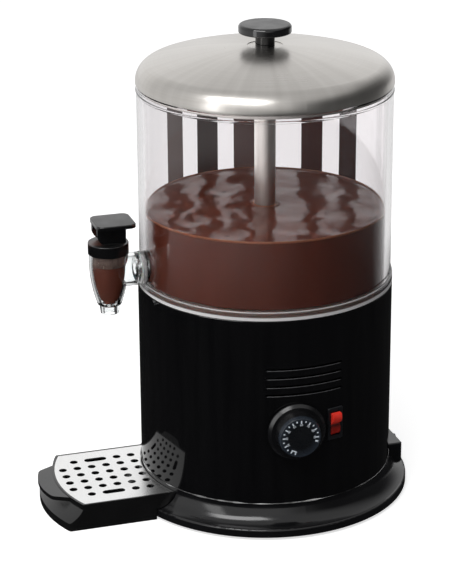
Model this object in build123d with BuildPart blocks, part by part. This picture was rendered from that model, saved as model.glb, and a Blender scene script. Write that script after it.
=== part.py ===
from build123d import *
import os
from math import atan, atan2, cos, degrees, pi, radians, sin, sqrt

# Hot chocolate dispenser in millimetres, +Z up.
# The origin lies on the machine's axis at table height.
# The tap and the drip tray face -Y, the controls face +X, the cable entry faces +Y.

UP = (Align.CENTER, Align.CENTER, Align.MIN)
DOWN = (Align.CENTER, Align.CENTER, Align.MAX)

# Fits
RUN_FIT = 0.05  # radial play of turning and sliding pieces
HAND_FIT = 0.4  # radial play of pieces that are lifted off by hand
TIGHT = 0.02  # play of pressed and moulded-in pieces
REST_GAP = 0.1  # play under a piece that stands on another
LIQUID_GAP = 0.3  # space round the chocolate
STIR_GAP = 1.0  # space that the stirred chocolate leaves round the mixer

# Housing, skirt and bowl, which share one axis
HOUSING_R = 123.7
HOUSING_H = 186.5
SKIRT_FLARE = 17.5  # skirt's rim outside the housing
BOWL_STEP = 1.9  # bowl's wall inside the housing's face
BOWL_H = 196.0
BASE_R = HOUSING_R + SKIRT_FLARE
BOWL_R = HOUSING_R - BOWL_STEP

# Base skirt, bottom plate and feet
FOOT_GAP = 3.0  # lower edge of the skirt above the table
RIM_H = 8.0
RIM_LAND = 2.5
RIM_ROUND = 1.8
SEAT_H = 27.0  # housing seat above the skirt's lower edge
SKIRT_WALL = 3.0
SPIGOT_H = 9.0
PLATE_RAISE = 2.0
SHEET = 1.2
FOOT_R = 12.0
FOOT_TAPER = 6.0
FOOT_PLUG_R = 3.5
FOOT_PLUG_H = 5.0
FOOT_SET = 37.2  # middle of a foot inside the skirt's rim
BOSS_R = 5.0
BOSS_LAP = 1.5
SCREW_R = 1.9
SCREW_LEN = 14.0
HEAD_R = 3.6
HEAD_H = 2.2
AIR_SLOT = (26.0, 4.0)
AIR_CIRCLE_R = 70.0
AIR_COUNT = 10

# Housing details
HOUSING_ROUND = 1.0
LIP_W = 14.0
VENT_COUNT = 4
VENT_LEN = 75.5
VENT_H = 2.4
VENT_PITCH = 8.6
VENT_DROP = 49.0  # top vent below the housing's top edge

# Controls
PANEL_Z = 105.0
DIAL_ANGLE = -4.3
DIAL_R = 28.0
DIAL_WAIST_R = 22.0
DIAL_FACE_R = 19.4
DIAL_SKIRT = 5.0
DIAL_BEVEL = 2.6
DIAL_EDGE = 0.6
DIAL_H = 17.0
DIAL_GAP = 0.8
SPINDLE_R = 3.0
SPINDLE_GRIP = 6.5
NECK_R = 5.0
NECK_OUT = 2.2
THERMOSTAT = (36.0, 32.0, 24.0)
THERMOSTAT_ROUND = 1.5
SWITCH_ANGLE = 14.2
SWITCH_RISE = 1.3  # switch above the dial's axis
BEZEL = (16.5, 32.5)
BEZEL_OUT = 1.8
BEZEL_ROUND = 1.5
SWITCH_BODY = (13.0, 28.0, 20.0)
ROCKER_W = 10.0
ROCKER_R = 12.0
ROCKER_HALF = 11.5
ROCKER_END = 3.2
ROCKER_DIP = 2.0  # valley between the lobes, out from the trunnion
ROCKER_LOBE = (5.2, 7.0)  # crest of a lobe: out from the trunnion and along the rocker
ROCKER_TILT = 13.0

# Cable entry box
REAR_BOX_W = 56.0
REAR_BOX_SET = 4.2  # rear wall of the box inside the skirt's rim
REAR_BOX_TOP = 31.0
REAR_BOX_WALL = 2.0
REAR_BOX_ROUND = 1.5
GLAND_R = 6.0
GLAND_HEAD_R = 7.5
GLAND_HEAD_T = 3.0
GLAND_BORE_R = 3.5

# Heated pan, column and drive
PAN_H = 8.5
PAN_SHEET = 1.5
PAN_ROUND = 2.0
ELEMENT_SET = 33.4  # middle line of the element inside the pan's edge
ELEMENT_R = 4.0
ELEMENT_TAIL = 22.0
ELEMENT_SPREAD = 12.0
COLUMN_R = 7.0
COLUMN_WALL = 1.5
COLUMN_H = 150.0
COLUMN_FLANGE = (14.0, 1.2)
SHAFT_R = 4.0
BUSH_H = 12.0
DRIVE_FLAT = 5.6
DRIVE_H = 9.0
COUPLING_R = 9.0
COUPLING_H = 22.0
STUB_R = 5.0
STUB_H = 6.0
BRACKET_DROP = 46.0  # bracket plate below the pan
BRACKET_W = 70.0
BRACKET_CLEAR = 1.0  # feet of the bracket clear of the bulb
BRACKET_FOOT = 12.0
BRACKET_T = 2.0
GEARBOX_R = 32.0
GEARBOX_H = 26.0
MOTOR_R = 26.0
MOTOR_H = 42.0
MOTOR_CAP_H = 8.0
MOTOR_ROUND = 1.5
MOTOR_SCREW_R = 24.0  # circle of the gearbox screws
STUB_END = 1.0  # space below the end of the gearbox's stub
BULB_R = 3.0
BULB_LEN = 60.0
BULB_SET = 18.0  # bulb inside the element's middle line
TERMINAL = (46.0, 20.0, 16.0)
TERMINAL_PLACE = (-55.0, 25.0)
TERMINAL_PITCH = 14.0

# Mixer
SLEEVE_R = 10.2
SLEEVE_WALL = 1.2
SLEEVE_OVER = 4.0  # sleeve above the end of the shaft
SLEEVE_LIFT = 4.0  # sleeve's lower end above the pan
SLEEVE_CAP_H = 9.0
HUB_R = 17.0
HUB_H = 22.0
PADDLE_SET = 14.4  # end of the paddle inside the pan's edge
PADDLE_T = 3.5
PADDLE_H = 13.0
PADDLE_BOW = 24.0
PADDLE_LIFT = 2.5

# Bowl and chocolate
BOWL_WALL = 6.0
BOWL_FOOT_H = 8.5
BOWL_FOOT_ROUND = 1.5
BOWL_EDGE = 1.6  # chamfer round the top edge
SEAL_H = 7.5
SEAL_W = 2.4
LIQUID_H = 65.0  # chocolate above the pan

# Bowl outlet
OUTLET_RISE = 22.0  # outlet axis above the housing's top
OUTLET_BOSS_R = 18.5
OUTLET_BOSS_OUT = 4.0
OUTLET_PAD_R = 13.0
OUTLET_PAD_IN = 3.3
PORT_R = 6.0
THREAD_R = 8.5
THREAD_END = 1.0
WASHER_T = 1.5
WASHER_R = 15.0
NUT_FLATS = 23.0
NUT_T = 6.0

# Tap
TAP_OUT = 34.2  # tap axis outside the bowl
TUBE_R = 16.0
TUBE_WALL = 3.5
CUP_RISE = 18.5  # top of the cup above the outlet axis
CUP_DROP = 32.5  # end of the cup's curve below the outlet axis
CUP_TOP_R = 18.5
CUP_LOW_R = 11.4
CUP_BULGE = 2.6
CUP_WALL = 3.0
TIP_H = 9.0
TIP_R = 9.7
TIP_END_R = 8.8
TIP_STEP = 1.2
TIP_BORE_R = 5.0
SEAT_CONE_H = 4.0
CUP_NECK_R = 17.0
CUP_NECK_H = 5.6
TAP_LEVEL = 7.5  # chocolate in the cup above the outlet axis
BONNET_R = 19.4
BONNET_H = 11.0
BONNET_ROUND = 3.5
BONNET_ROOF = 4.0
GUIDE_R = 6.0
GUIDE_H = 3.0
STEM_R = 3.0
STEM_OVER = 4.2  # stem above the lever pin
FLANGE_R = 7.0
FLANGE_T = 1.5
PLUG_R = 6.6
PLUG_H = 8.0
PLUG_TIP_R = 5.4
SPRING_R = 5.6
SPRING_WIRE = 0.55
SPRING_TURNS = 3
PIN_R = 1.5
CAM_R = 10.0
CAM_THROW = 3.0
CAM_GAP = 0.35
CHEEK_IN = 8.0
CHEEK_T = 4.5
CHEEK_BACK = 14.7  # rear edge of a cheek under the plate, behind the pin
CHEEK_HEEL = 10.5  # rear edge of a cheek at its foot, behind the pin
CHEEK_ROUND = 3.0
PRESS_PLATE = (38.0, 38.0, 3.8)
PRESS_PLATE_ROUND = 10.0
PRESS_PLATE_EDGE = 1.0
PRESS_PLATE_BACK = 5.0  # plate's middle behind the tap axis
PRESS_PLATE_RISE = 6.7  # plate's underside above the lever pin

# Lid
LID_OVER = 0.8  # lid's edge outside the bowl
LID_SKIRT = 1.5
LID_SHOULDER = 18.0
LID_RISE = 34.5
LID_T = 0.8
LID_SEAT_R = 17.0  # pressed flat under the knob
LID_SEAT_DROP = 0.8
LID_COLLAR_H = 5.0
KNOB_R = 25.2
KNOB_T = 8.1
KNOB_ROUND = 3.0
KNOB_EDGE = 1.2
KNOB_STEM_R = 9.2
KNOB_STEM_H = 12.6
KNOB_SCREW_R = 2.5
KNOB_SCREW_LEN = 17.0
KNOB_HEAD = (4.6, 3.0)
KNOB_WASHER = (8.0, 1.2)

# Drip tray and grille
TRAY_W = 118.0
TRAY_H = 26.5
TRAY_OUT = 87.3  # tray's front outside the skirt's rim
TRAY_BOW = 13.5
TRAY_BAND = 8.0  # upright band at the foot of the front
TRAY_HOLLOW = (9.0, 7.0)  # hollow of the sloping front: set back and up from the band
TRAY_SLOPE = (13.5, 14.0)  # top of the sloping front: set back and up from the band
TRAY_WALL = 2.5
TRAY_RIM = 1.8
TRAY_LEDGE = 2.5
TRAY_GAP = 0.6  # tray and grille clear of the skirt and housing
TAB_ROOT = 82.0
TAB_FRONT = 60.0
TAB_OUT = 2.5  # tab's front outside the tray's foot
TAB_BOW = 6.0
TAB_DROP = 0.6
TAB_T = 4.0
TAB_ROUND = 9.0
TAB_LAP = 4.0  # tab's root inside the tray's front
GRILLE_T = 1.2
GRILLE_PLAY = 0.3
HOLE_R = 3.9
HOLE_PITCH = 15.15
ROW_PITCH = 14.6
HOLE_COLUMNS = 6
HOLE_ROWS = 6
HOLES_SET = 62.5  # middle of the holes behind the tray's front

# Sizes and heights that follow
FOOT_CIRCLE_R = BASE_R - FOOT_SET
REAR_BOX_Y = BASE_R - REAR_BOX_SET
BOWL_IN = BOWL_R - BOWL_WALL
PAN_R = BOWL_IN - SEAL_W
PADDLE_R = PAN_R - PADDLE_SET
ELEMENT_CIRCLE_R = PAN_R - ELEMENT_SET
BULB_Y = ELEMENT_CIRCLE_R - BULB_SET
TAP_REACH = BOWL_R + TAP_OUT
TRAY_REACH = BASE_R + TRAY_OUT
LID_R = BOWL_R + LID_OVER
SEAT_Z = FOOT_GAP + SEAT_H
RIM_TOP = FOOT_GAP + RIM_H
SWITCH_Z = PANEL_Z + SWITCH_RISE
COVE_X = BASE_R - RIM_LAND
PLATE_Z = FOOT_GAP + PLATE_RAISE
PLATE_TOP = PLATE_Z + SHEET
HOUSING_TOP = SEAT_Z + HOUSING_H
PAN_Z = HOUSING_TOP + PAN_H
BOWL_TOP = HOUSING_TOP + BOWL_H
OUTLET_Z = HOUSING_TOP + OUTLET_RISE
SPIGOT_R = HOUSING_R - SHEET - REST_GAP


def body_envelope(grow, top):
    """Everything inside the outline of the skirt and the housing, moved outwards by grow."""
    with BuildPart() as envelope:
        with BuildSketch(Plane.XZ):
            with BuildLine():
                rim_corner = (COVE_X + grow, RIM_TOP + grow)
                wall_foot = (HOUSING_R + grow, SEAT_Z + grow)
                Polyline((0, 0), (BASE_R + grow, 0), (BASE_R + grow, RIM_TOP + grow), rim_corner)
                TangentArc(wall_foot, rim_corner, tangent=(0, -1))
                Polyline(wall_foot, (HOUSING_R + grow, top), (0, top), (0, 0))
            make_face()
        revolve(axis=Axis.Z)
    return envelope.part


def panel_plane(angle, radius, height):
    """Plane that looks out of the housing: x to the rear along the wall, y up."""
    c, s = cos(radians(angle)), sin(radians(angle))
    return Plane(origin=(radius * c, radius * s, height), x_dir=(-s, c, 0), z_dir=(c, s, 0))


# Base skirt: a flared moulding, open below, with a spigot that centres the housing
BOSS_CIRCLE_R = SPIGOT_R - SKIRT_WALL - BOSS_R + BOSS_LAP
skirt_outside = body_envelope(0, SEAT_Z + SPIGOT_H)
skirt_inside = body_envelope(-SKIRT_WALL, SEAT_Z)
GLAND_Z = (RIM_TOP + REAR_BOX_TOP) / 2

with BuildPart() as base_skirt:
    add(skirt_outside)
    with Locations((0, 0, SEAT_Z)):
        Cylinder(BASE_R, SPIGOT_H + 1, align=UP, mode=Mode.SUBTRACT)
        Cylinder(SPIGOT_R, SPIGOT_H, align=UP)
    add(skirt_inside, mode=Mode.SUBTRACT)
    Cylinder(SPIGOT_R - SKIRT_WALL, SEAT_Z + SPIGOT_H, align=UP, mode=Mode.SUBTRACT)
    Cylinder(BASE_R + 1, FOOT_GAP, align=UP, mode=Mode.SUBTRACT)
    rim_edges = base_skirt.edges().filter_by(GeomType.CIRCLE)
    rim_edges = rim_edges.filter_by(lambda e: abs(e.radius - BASE_R) < 0.01)
    fillet(rim_edges.sort_by(Axis.Z)[-1], RIM_ROUND)
    with Locations((0, 0, PLATE_TOP)):
        with PolarLocations(BOSS_CIRCLE_R, 4):
            Cylinder(BOSS_R, SEAT_Z + SPIGOT_H - PLATE_TOP, align=UP)
            Cylinder(SCREW_R + TIGHT, SCREW_LEN + 1, align=UP, mode=Mode.SUBTRACT)
    with Locations(Plane(origin=(0, SPIGOT_R - SKIRT_WALL - 1, GLAND_Z), z_dir=(0, 1, 0))):
        Cylinder(GLAND_BORE_R + 1, REAR_BOX_Y - SPIGOT_R, align=UP, mode=Mode.SUBTRACT)

# Bottom plate with air slots, screw holes and foot holes
with BuildPart() as bottom_plate:
    with BuildSketch(Plane.XY.offset(PLATE_Z)):
        Circle(BASE_R - SKIRT_WALL - HAND_FIT)
        with PolarLocations(BOSS_CIRCLE_R, 4):
            Circle(SCREW_R + HAND_FIT, mode=Mode.SUBTRACT)
        with PolarLocations(FOOT_CIRCLE_R, 4, start_angle=45):
            Circle(FOOT_PLUG_R + TIGHT, mode=Mode.SUBTRACT)
        with PolarLocations(AIR_CIRCLE_R, AIR_COUNT):
            SlotOverall(*AIR_SLOT, mode=Mode.SUBTRACT)
    extrude(amount=SHEET)

with BuildPart() as bottom_plate_screws:
    with Locations((0, 0, PLATE_Z)):
        with PolarLocations(BOSS_CIRCLE_R, 4):
            Cylinder(HEAD_R, HEAD_H, align=DOWN)
            Cylinder(SCREW_R, SCREW_LEN, align=UP)
    head_rims = bottom_plate_screws.edges().filter_by(GeomType.CIRCLE).group_by(Axis.Z)[0]
    fillet(head_rims, HEAD_H / 3)

with BuildPart() as rubber_feet:
    with BuildSketch(Plane.XY.offset(PLATE_Z)):
        with PolarLocations(FOOT_CIRCLE_R, 4, start_angle=45):
            Circle(FOOT_R)
    extrude(amount=-PLATE_Z, taper=FOOT_TAPER)
    with Locations((0, 0, PLATE_Z)):
        with PolarLocations(FOOT_CIRCLE_R, 4, start_angle=45):
            Cylinder(FOOT_PLUG_R, FOOT_PLUG_H, align=UP)

# Housing: a rolled sheet cylinder with an inward lip that carries the pan and the bowl
VENT_DEPTH = HOUSING_R - sqrt((HOUSING_R - SHEET) ** 2 - (VENT_LEN / 2) ** 2) + 1
LIP_R = PAN_R - LIP_W / 2

with BuildPart() as housing_shell:
    with Locations((0, 0, SEAT_Z)):
        Cylinder(HOUSING_R, HOUSING_H, align=UP)
    fillet(housing_shell.edges().sort_by(Axis.Z)[-1], HOUSING_ROUND)
    with Locations((0, 0, SEAT_Z)):
        Cylinder(HOUSING_R - SHEET, HOUSING_H - SHEET, align=UP, mode=Mode.SUBTRACT)
        Cylinder(LIP_R, HOUSING_H + 1, align=UP, mode=Mode.SUBTRACT)
    with BuildSketch(Plane.YZ.offset(HOUSING_R + 1)):
        with Locations([(0, HOUSING_TOP - VENT_DROP - i * VENT_PITCH) for i in range(VENT_COUNT)]):
            SlotOverall(VENT_LEN, VENT_H)
    extrude(amount=-VENT_DEPTH - 1, mode=Mode.SUBTRACT)
    with BuildSketch(panel_plane(DIAL_ANGLE, HOUSING_R + 1, PANEL_Z)):
        Circle(NECK_R + REST_GAP)
    extrude(amount=-SHEET - 2, mode=Mode.SUBTRACT)
    with BuildSketch(panel_plane(SWITCH_ANGLE, HOUSING_R + 1, SWITCH_Z)):
        Rectangle(SWITCH_BODY[0] + 2 * REST_GAP, SWITCH_BODY[1] + 2 * REST_GAP)
    extrude(amount=-SHEET - 3, mode=Mode.SUBTRACT)

# Cable entry box on the rear of the skirt, cut to the skirt's curve
rear_box_relief = body_envelope(REST_GAP, HOUSING_TOP)

with BuildPart() as rear_box:
    with BuildSketch(Plane.XY.offset(RIM_TOP)):
        with Locations((0, REAR_BOX_Y / 2)):
            Rectangle(REAR_BOX_W, REAR_BOX_Y)
    extrude(amount=REAR_BOX_TOP - RIM_TOP)
    fillet(rear_box.edges().filter_by(Axis.Z).group_by(Axis.Y)[-1], REAR_BOX_ROUND * 2)
    fillet(rear_box.faces().sort_by(Axis.Z)[-1].edges(), REAR_BOX_ROUND)
    with BuildSketch(Plane.XY.offset(RIM_TOP)):
        with Locations((0, (REAR_BOX_Y - REAR_BOX_WALL) / 2)):
            Rectangle(REAR_BOX_W - 2 * REAR_BOX_WALL, REAR_BOX_Y - REAR_BOX_WALL)
    extrude(amount=REAR_BOX_TOP - RIM_TOP - REAR_BOX_WALL, mode=Mode.SUBTRACT)
    add(rear_box_relief, mode=Mode.SUBTRACT)
    with Locations(Plane(origin=(0, REAR_BOX_Y, GLAND_Z), z_dir=(0, 1, 0))):
        Cylinder(GLAND_R + TIGHT, 3 * REAR_BOX_WALL, mode=Mode.SUBTRACT)

with BuildPart() as cable_gland:
    with BuildSketch(Plane(origin=(0, REAR_BOX_Y, GLAND_Z), z_dir=(0, 1, 0))):
        RegularPolygon(GLAND_HEAD_R, 6)
    extrude(amount=GLAND_HEAD_T)
    fillet(cable_gland.faces().sort_by(Axis.Y)[-1].edges(), GLAND_HEAD_T / 4)
    with Locations(Plane(origin=(0, REAR_BOX_Y, GLAND_Z), z_dir=(0, 1, 0))):
        Cylinder(GLAND_R, REAR_BOX_WALL + 2, align=DOWN)
        Cylinder(GLAND_BORE_R, 4 * GLAND_HEAD_T, mode=Mode.SUBTRACT)

# Thermostat: dial knob and spindle turn in the neck of the fixed body
THERMOSTAT_FRONT = sqrt((HOUSING_R - SHEET) ** 2 - (THERMOSTAT[0] / 2) ** 2) - REST_GAP
DIAL_BACK = HOUSING_R + DIAL_GAP
NECK_END = HOUSING_R + NECK_OUT
SPINDLE_END = DIAL_BACK + DIAL_H - DIAL_SKIRT
DIAL_TAPER = degrees(atan((DIAL_WAIST_R - DIAL_FACE_R) / (DIAL_H - DIAL_SKIRT)))

with BuildPart() as dial_knob:
    with BuildSketch(panel_plane(DIAL_ANGLE, DIAL_BACK, PANEL_Z)):
        Circle(DIAL_R)
    extrude(amount=DIAL_SKIRT)
    chamfer(dial_knob.faces().sort_by(Axis.X)[-1].edges(), DIAL_BEVEL)
    with BuildSketch(panel_plane(DIAL_ANGLE, DIAL_BACK + DIAL_SKIRT, PANEL_Z)):
        Circle(DIAL_WAIST_R)
    extrude(amount=DIAL_H - DIAL_SKIRT, taper=DIAL_TAPER)
    fillet(dial_knob.faces().sort_by(Axis.X)[-1].edges(), DIAL_EDGE)
    with BuildSketch(panel_plane(DIAL_ANGLE, DIAL_BACK, PANEL_Z)):
        Circle(NECK_R + 2 * HAND_FIT)
    extrude(amount=NECK_END - DIAL_BACK + HAND_FIT, mode=Mode.SUBTRACT)
    with BuildSketch(panel_plane(DIAL_ANGLE, DIAL_BACK, PANEL_Z)):
        Circle(SPINDLE_R + TIGHT)
    extrude(amount=SPINDLE_END - DIAL_BACK, mode=Mode.SUBTRACT)

with BuildPart() as dial_spindle:
    with BuildSketch(panel_plane(DIAL_ANGLE, THERMOSTAT_FRONT - SPINDLE_GRIP, PANEL_Z)):
        Circle(SPINDLE_R)
    extrude(amount=SPINDLE_END - THERMOSTAT_FRONT + SPINDLE_GRIP)

with BuildPart() as thermostat_body:
    with BuildSketch(panel_plane(DIAL_ANGLE, THERMOSTAT_FRONT, PANEL_Z)):
        Rectangle(THERMOSTAT[0], THERMOSTAT[1])
    extrude(amount=-THERMOSTAT[2])
    fillet(thermostat_body.edges(), THERMOSTAT_ROUND)
    with BuildSketch(panel_plane(DIAL_ANGLE, THERMOSTAT_FRONT - 1, PANEL_Z)):
        Circle(NECK_R)
    extrude(amount=NECK_END - THERMOSTAT_FRONT + 1)
    with BuildSketch(panel_plane(DIAL_ANGLE, NECK_END, PANEL_Z)):
        Circle(SPINDLE_R + RUN_FIT)
    extrude(amount=THERMOSTAT_FRONT - SPINDLE_GRIP - NECK_END - REST_GAP, mode=Mode.SUBTRACT)

# Rocker switch: bezel and body in one moulding, rocker on a trunnion across it
BEZEL_FACE = HOUSING_R + BEZEL_OUT
ROCKER_AXIS = BEZEL_FACE - ROCKER_DIP - 1
rocker_plane = panel_plane(SWITCH_ANGLE, ROCKER_AXIS, SWITCH_Z)
rocker_side = Plane(origin=rocker_plane.origin, x_dir=rocker_plane.z_dir, z_dir=-rocker_plane.x_dir)
trunnion = Axis(rocker_plane.origin, rocker_plane.x_dir)
rocker_out = rocker_plane.z_dir.rotate(trunnion, ROCKER_TILT)
rocker_tilted = Plane(origin=rocker_plane.origin, x_dir=rocker_out, z_dir=-rocker_plane.x_dir)
POCKET_R = ROCKER_R + HAND_FIT
housing_bore = body_envelope(REST_GAP, HOUSING_TOP)

with BuildPart() as switch_bezel:
    with BuildSketch(panel_plane(SWITCH_ANGLE, BEZEL_FACE, SWITCH_Z)):
        RectangleRounded(*BEZEL, BEZEL_ROUND)
    extrude(amount=-BEZEL_OUT - 2)
    fillet(switch_bezel.faces().sort_by(Axis.X)[-1].edges(), BEZEL_OUT / 3)
    add(housing_bore, mode=Mode.SUBTRACT)
    with BuildSketch(panel_plane(SWITCH_ANGLE, BEZEL_FACE - BEZEL_OUT / 2, SWITCH_Z)):
        Rectangle(SWITCH_BODY[0], SWITCH_BODY[1])
    extrude(amount=-SWITCH_BODY[2])
    with BuildSketch(rocker_side):
        Circle(POCKET_R)
        with Locations((POCKET_R / 2, 0)):
            Rectangle(POCKET_R, 2 * POCKET_R)
    extrude(amount=ROCKER_W / 2 + HAND_FIT, both=True, mode=Mode.SUBTRACT)
    with BuildSketch(rocker_side):
        Circle(SPINDLE_R / 2)
    extrude(amount=SWITCH_BODY[0] / 2, both=True, mode=Mode.SUBTRACT)

with BuildPart() as switch_rocker:
    with BuildSketch(rocker_tilted):
        with BuildLine():
            crest, along = ROCKER_LOBE
            valley = (ROCKER_DIP, 0)
            ThreePointArc((ROCKER_END, ROCKER_HALF), (crest, along), valley)
            ThreePointArc(valley, (crest, -along), (ROCKER_END, -ROCKER_HALF))
            Line((ROCKER_END, -ROCKER_HALF), (0, -ROCKER_HALF))
            ThreePointArc((0, -ROCKER_HALF), (-ROCKER_R * 0.6, 0), (0, ROCKER_HALF))
            Line((0, ROCKER_HALF), (ROCKER_END, ROCKER_HALF))
        make_face()
    extrude(amount=ROCKER_W / 2, both=True)
    with BuildSketch(rocker_side):
        Circle(SPINDLE_R / 2 - RUN_FIT)
    extrude(amount=SWITCH_BODY[0] / 2 - HAND_FIT, both=True)

# Heated pan: an inverted steel dish that closes the bowl from below
with BuildPart() as heated_pan:
    with Locations((0, 0, HOUSING_TOP)):
        Cylinder(PAN_R, PAN_H, align=UP)
    fillet(heated_pan.edges().sort_by(Axis.Z)[-1], PAN_ROUND)
    with Locations((0, 0, HOUSING_TOP + SHEET)):
        Cylinder(PAN_R - PAN_SHEET, PAN_H - SHEET - PAN_SHEET, align=UP, mode=Mode.SUBTRACT)
    with Locations((0, 0, HOUSING_TOP)):
        Cylinder(LIP_R, SHEET, align=UP, mode=Mode.SUBTRACT)
        Cylinder(COLUMN_R + TIGHT, PAN_H, align=UP, mode=Mode.SUBTRACT)

PAN_UNDER = PAN_Z - PAN_SHEET
ELEMENT_Z = PAN_UNDER - ELEMENT_R - TIGHT

with BuildPart() as heating_element:
    with Locations((0, 0, ELEMENT_Z)):
        Torus(ELEMENT_CIRCLE_R, ELEMENT_R)
    with Locations((0, 0, ELEMENT_Z)):
        with PolarLocations(ELEMENT_CIRCLE_R, 2, 180 - ELEMENT_SPREAD / 2, ELEMENT_SPREAD):
            Cylinder(ELEMENT_R * 0.8, ELEMENT_TAIL, align=DOWN)

with BuildPart() as thermostat_bulb:
    with Locations(Plane(origin=(0, BULB_Y, PAN_UNDER - BULB_R - TIGHT), z_dir=(1, 0, 0))):
        Cylinder(BULB_R, BULB_LEN)
    fillet(thermostat_bulb.edges().filter_by(GeomType.CIRCLE), BULB_R * 0.6)

# Fixed column with two bushes, and the shaft that turns in it
COLUMN_TOP = PAN_Z + COLUMN_H
COLUMN_IN = COLUMN_R - COLUMN_WALL

with BuildPart() as centre_column:
    with Locations((0, 0, HOUSING_TOP)):
        Cylinder(COLUMN_R, PAN_H + COLUMN_H, align=UP)
    with Locations((0, 0, PAN_Z)):
        Cylinder(COLUMN_FLANGE[0], COLUMN_FLANGE[1], align=UP)
    with Locations((0, 0, HOUSING_TOP)):
        Cylinder(COLUMN_IN, PAN_H + COLUMN_H, align=UP, mode=Mode.SUBTRACT)

with BuildPart() as column_bushes:
    with Locations((0, 0, HOUSING_TOP), (0, 0, COLUMN_TOP - BUSH_H)):
        Cylinder(COLUMN_IN - TIGHT, BUSH_H, align=UP)
        Cylinder(SHAFT_R + RUN_FIT, BUSH_H, align=UP, mode=Mode.SUBTRACT)

BRACKET_TOP = PAN_UNDER - BRACKET_DROP
COUPLING_Z = BRACKET_TOP + STUB_H / 2
SHAFT_TOP = COLUMN_TOP + DRIVE_H + 2

with BuildPart() as drive_shaft:
    with Locations((0, 0, COUPLING_Z + COUPLING_H / 2)):
        Cylinder(SHAFT_R, SHAFT_TOP - COUPLING_Z - COUPLING_H / 2, align=UP)
    with BuildSketch(Plane.XY.offset(SHAFT_TOP - DRIVE_H)):
        Circle(SHAFT_R + 1)
        Rectangle(DRIVE_FLAT, DRIVE_FLAT, mode=Mode.SUBTRACT)
    extrude(amount=DRIVE_H, mode=Mode.SUBTRACT)

with BuildPart() as drive_coupling:
    with Locations((0, 0, COUPLING_Z)):
        Cylinder(COUPLING_R, COUPLING_H, align=UP)
        Cylinder(STUB_R, STUB_H / 2 + BRACKET_T + STUB_H, align=DOWN)
    fillet(drive_coupling.edges().sort_by(Axis.Z)[-1], 1.0)
    with Locations((0, 0, COUPLING_Z + COUPLING_H / 2)):
        Cylinder(SHAFT_R + TIGHT, COUPLING_H / 2, align=UP, mode=Mode.SUBTRACT)
    with Locations(Plane(origin=(0, 0, COUPLING_Z + COUPLING_H * 0.75), z_dir=(1, 0, 0))):
        Cylinder(SCREW_R, COUPLING_R + 1, align=UP, mode=Mode.SUBTRACT)

# Gear motor hung under the pan on a bent strap
with BuildPart() as motor_bracket:
    with BuildSketch(Plane.YZ):
        with BuildLine():
            half = BULB_Y - BULB_R - BRACKET_CLEAR - BRACKET_FOOT
            low, high = BRACKET_TOP - BRACKET_T, PAN_UNDER - TIGHT
            Polyline(
                (0, low), (half, low), (half, high - BRACKET_T), (half + BRACKET_FOOT, high - BRACKET_T),
                (half + BRACKET_FOOT, high), (half - BRACKET_T, high), (half - BRACKET_T, BRACKET_TOP),
                (0, BRACKET_TOP), (0, low),
            )
        make_face()
        mirror(about=Plane.YZ)
    extrude(amount=BRACKET_W / 2, both=True)
    with BuildSketch(Plane.XY.offset(BRACKET_TOP)):
        Circle(STUB_R + 2)
        with PolarLocations(MOTOR_SCREW_R, 3):
            Circle(SCREW_R + TIGHT)
    extrude(amount=-BRACKET_T, mode=Mode.SUBTRACT)

GEARBOX_TOP = BRACKET_TOP - BRACKET_T

with BuildPart() as gearbox:
    with Locations((0, 0, GEARBOX_TOP)):
        Cylinder(GEARBOX_R, GEARBOX_H, align=DOWN)
    fillet(gearbox.edges().filter_by(GeomType.CIRCLE), MOTOR_ROUND)
    with Locations((0, 0, GEARBOX_TOP)):
        Cylinder(STUB_R + RUN_FIT, STUB_H + STUB_END, align=DOWN, mode=Mode.SUBTRACT)
        with PolarLocations(MOTOR_SCREW_R, 3):
            Cylinder(SCREW_R + TIGHT, SCREW_LEN, align=DOWN, mode=Mode.SUBTRACT)

with BuildPart() as motor:
    with Locations((0, 0, GEARBOX_TOP - GEARBOX_H)):
        Cylinder(MOTOR_R, MOTOR_H, align=DOWN)
    with Locations((0, 0, GEARBOX_TOP - GEARBOX_H - MOTOR_H)):
        Cylinder(MOTOR_R * 0.6, MOTOR_CAP_H, align=DOWN)
    fillet(motor.edges().filter_by(GeomType.CIRCLE), MOTOR_ROUND)

with BuildPart() as motor_screws:
    with Locations((0, 0, BRACKET_TOP)):
        with PolarLocations(MOTOR_SCREW_R, 3):
            Cylinder(HEAD_R, HEAD_H, align=UP)
            Cylinder(SCREW_R, SCREW_LEN, align=DOWN)

with BuildPart() as terminal_block:
    with Locations((*TERMINAL_PLACE, PLATE_TOP)):
        Box(*TERMINAL, align=UP)
        with Locations((0, 0, TERMINAL[2])):
            with GridLocations(TERMINAL_PITCH, 1, 3, 1):
                Cylinder(SCREW_R, TERMINAL[2] / 2, align=DOWN, mode=Mode.SUBTRACT)
        with Locations(Plane(origin=(0, 0, TERMINAL[2] / 3), z_dir=(0, 1, 0))):
            with GridLocations(TERMINAL_PITCH, 1, 3, 1):
                Cylinder(SCREW_R * 1.4, TERMINAL[1], mode=Mode.SUBTRACT)

# Mixer: sleeve over the column, closed by a cap that the shaft drives, paddle at the foot
SLEEVE_Z = PAN_Z + SLEEVE_LIFT
SLEEVE_TOP = SHAFT_TOP + SLEEVE_OVER
SLEEVE_IN = SLEEVE_R - SLEEVE_WALL

with BuildPart() as mixer_sleeve:
    with Locations((0, 0, SLEEVE_Z)):
        Cylinder(SLEEVE_R, SLEEVE_TOP - SLEEVE_Z, align=UP)
        Cylinder(SLEEVE_IN, SLEEVE_TOP - SLEEVE_Z, align=UP, mode=Mode.SUBTRACT)

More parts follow.
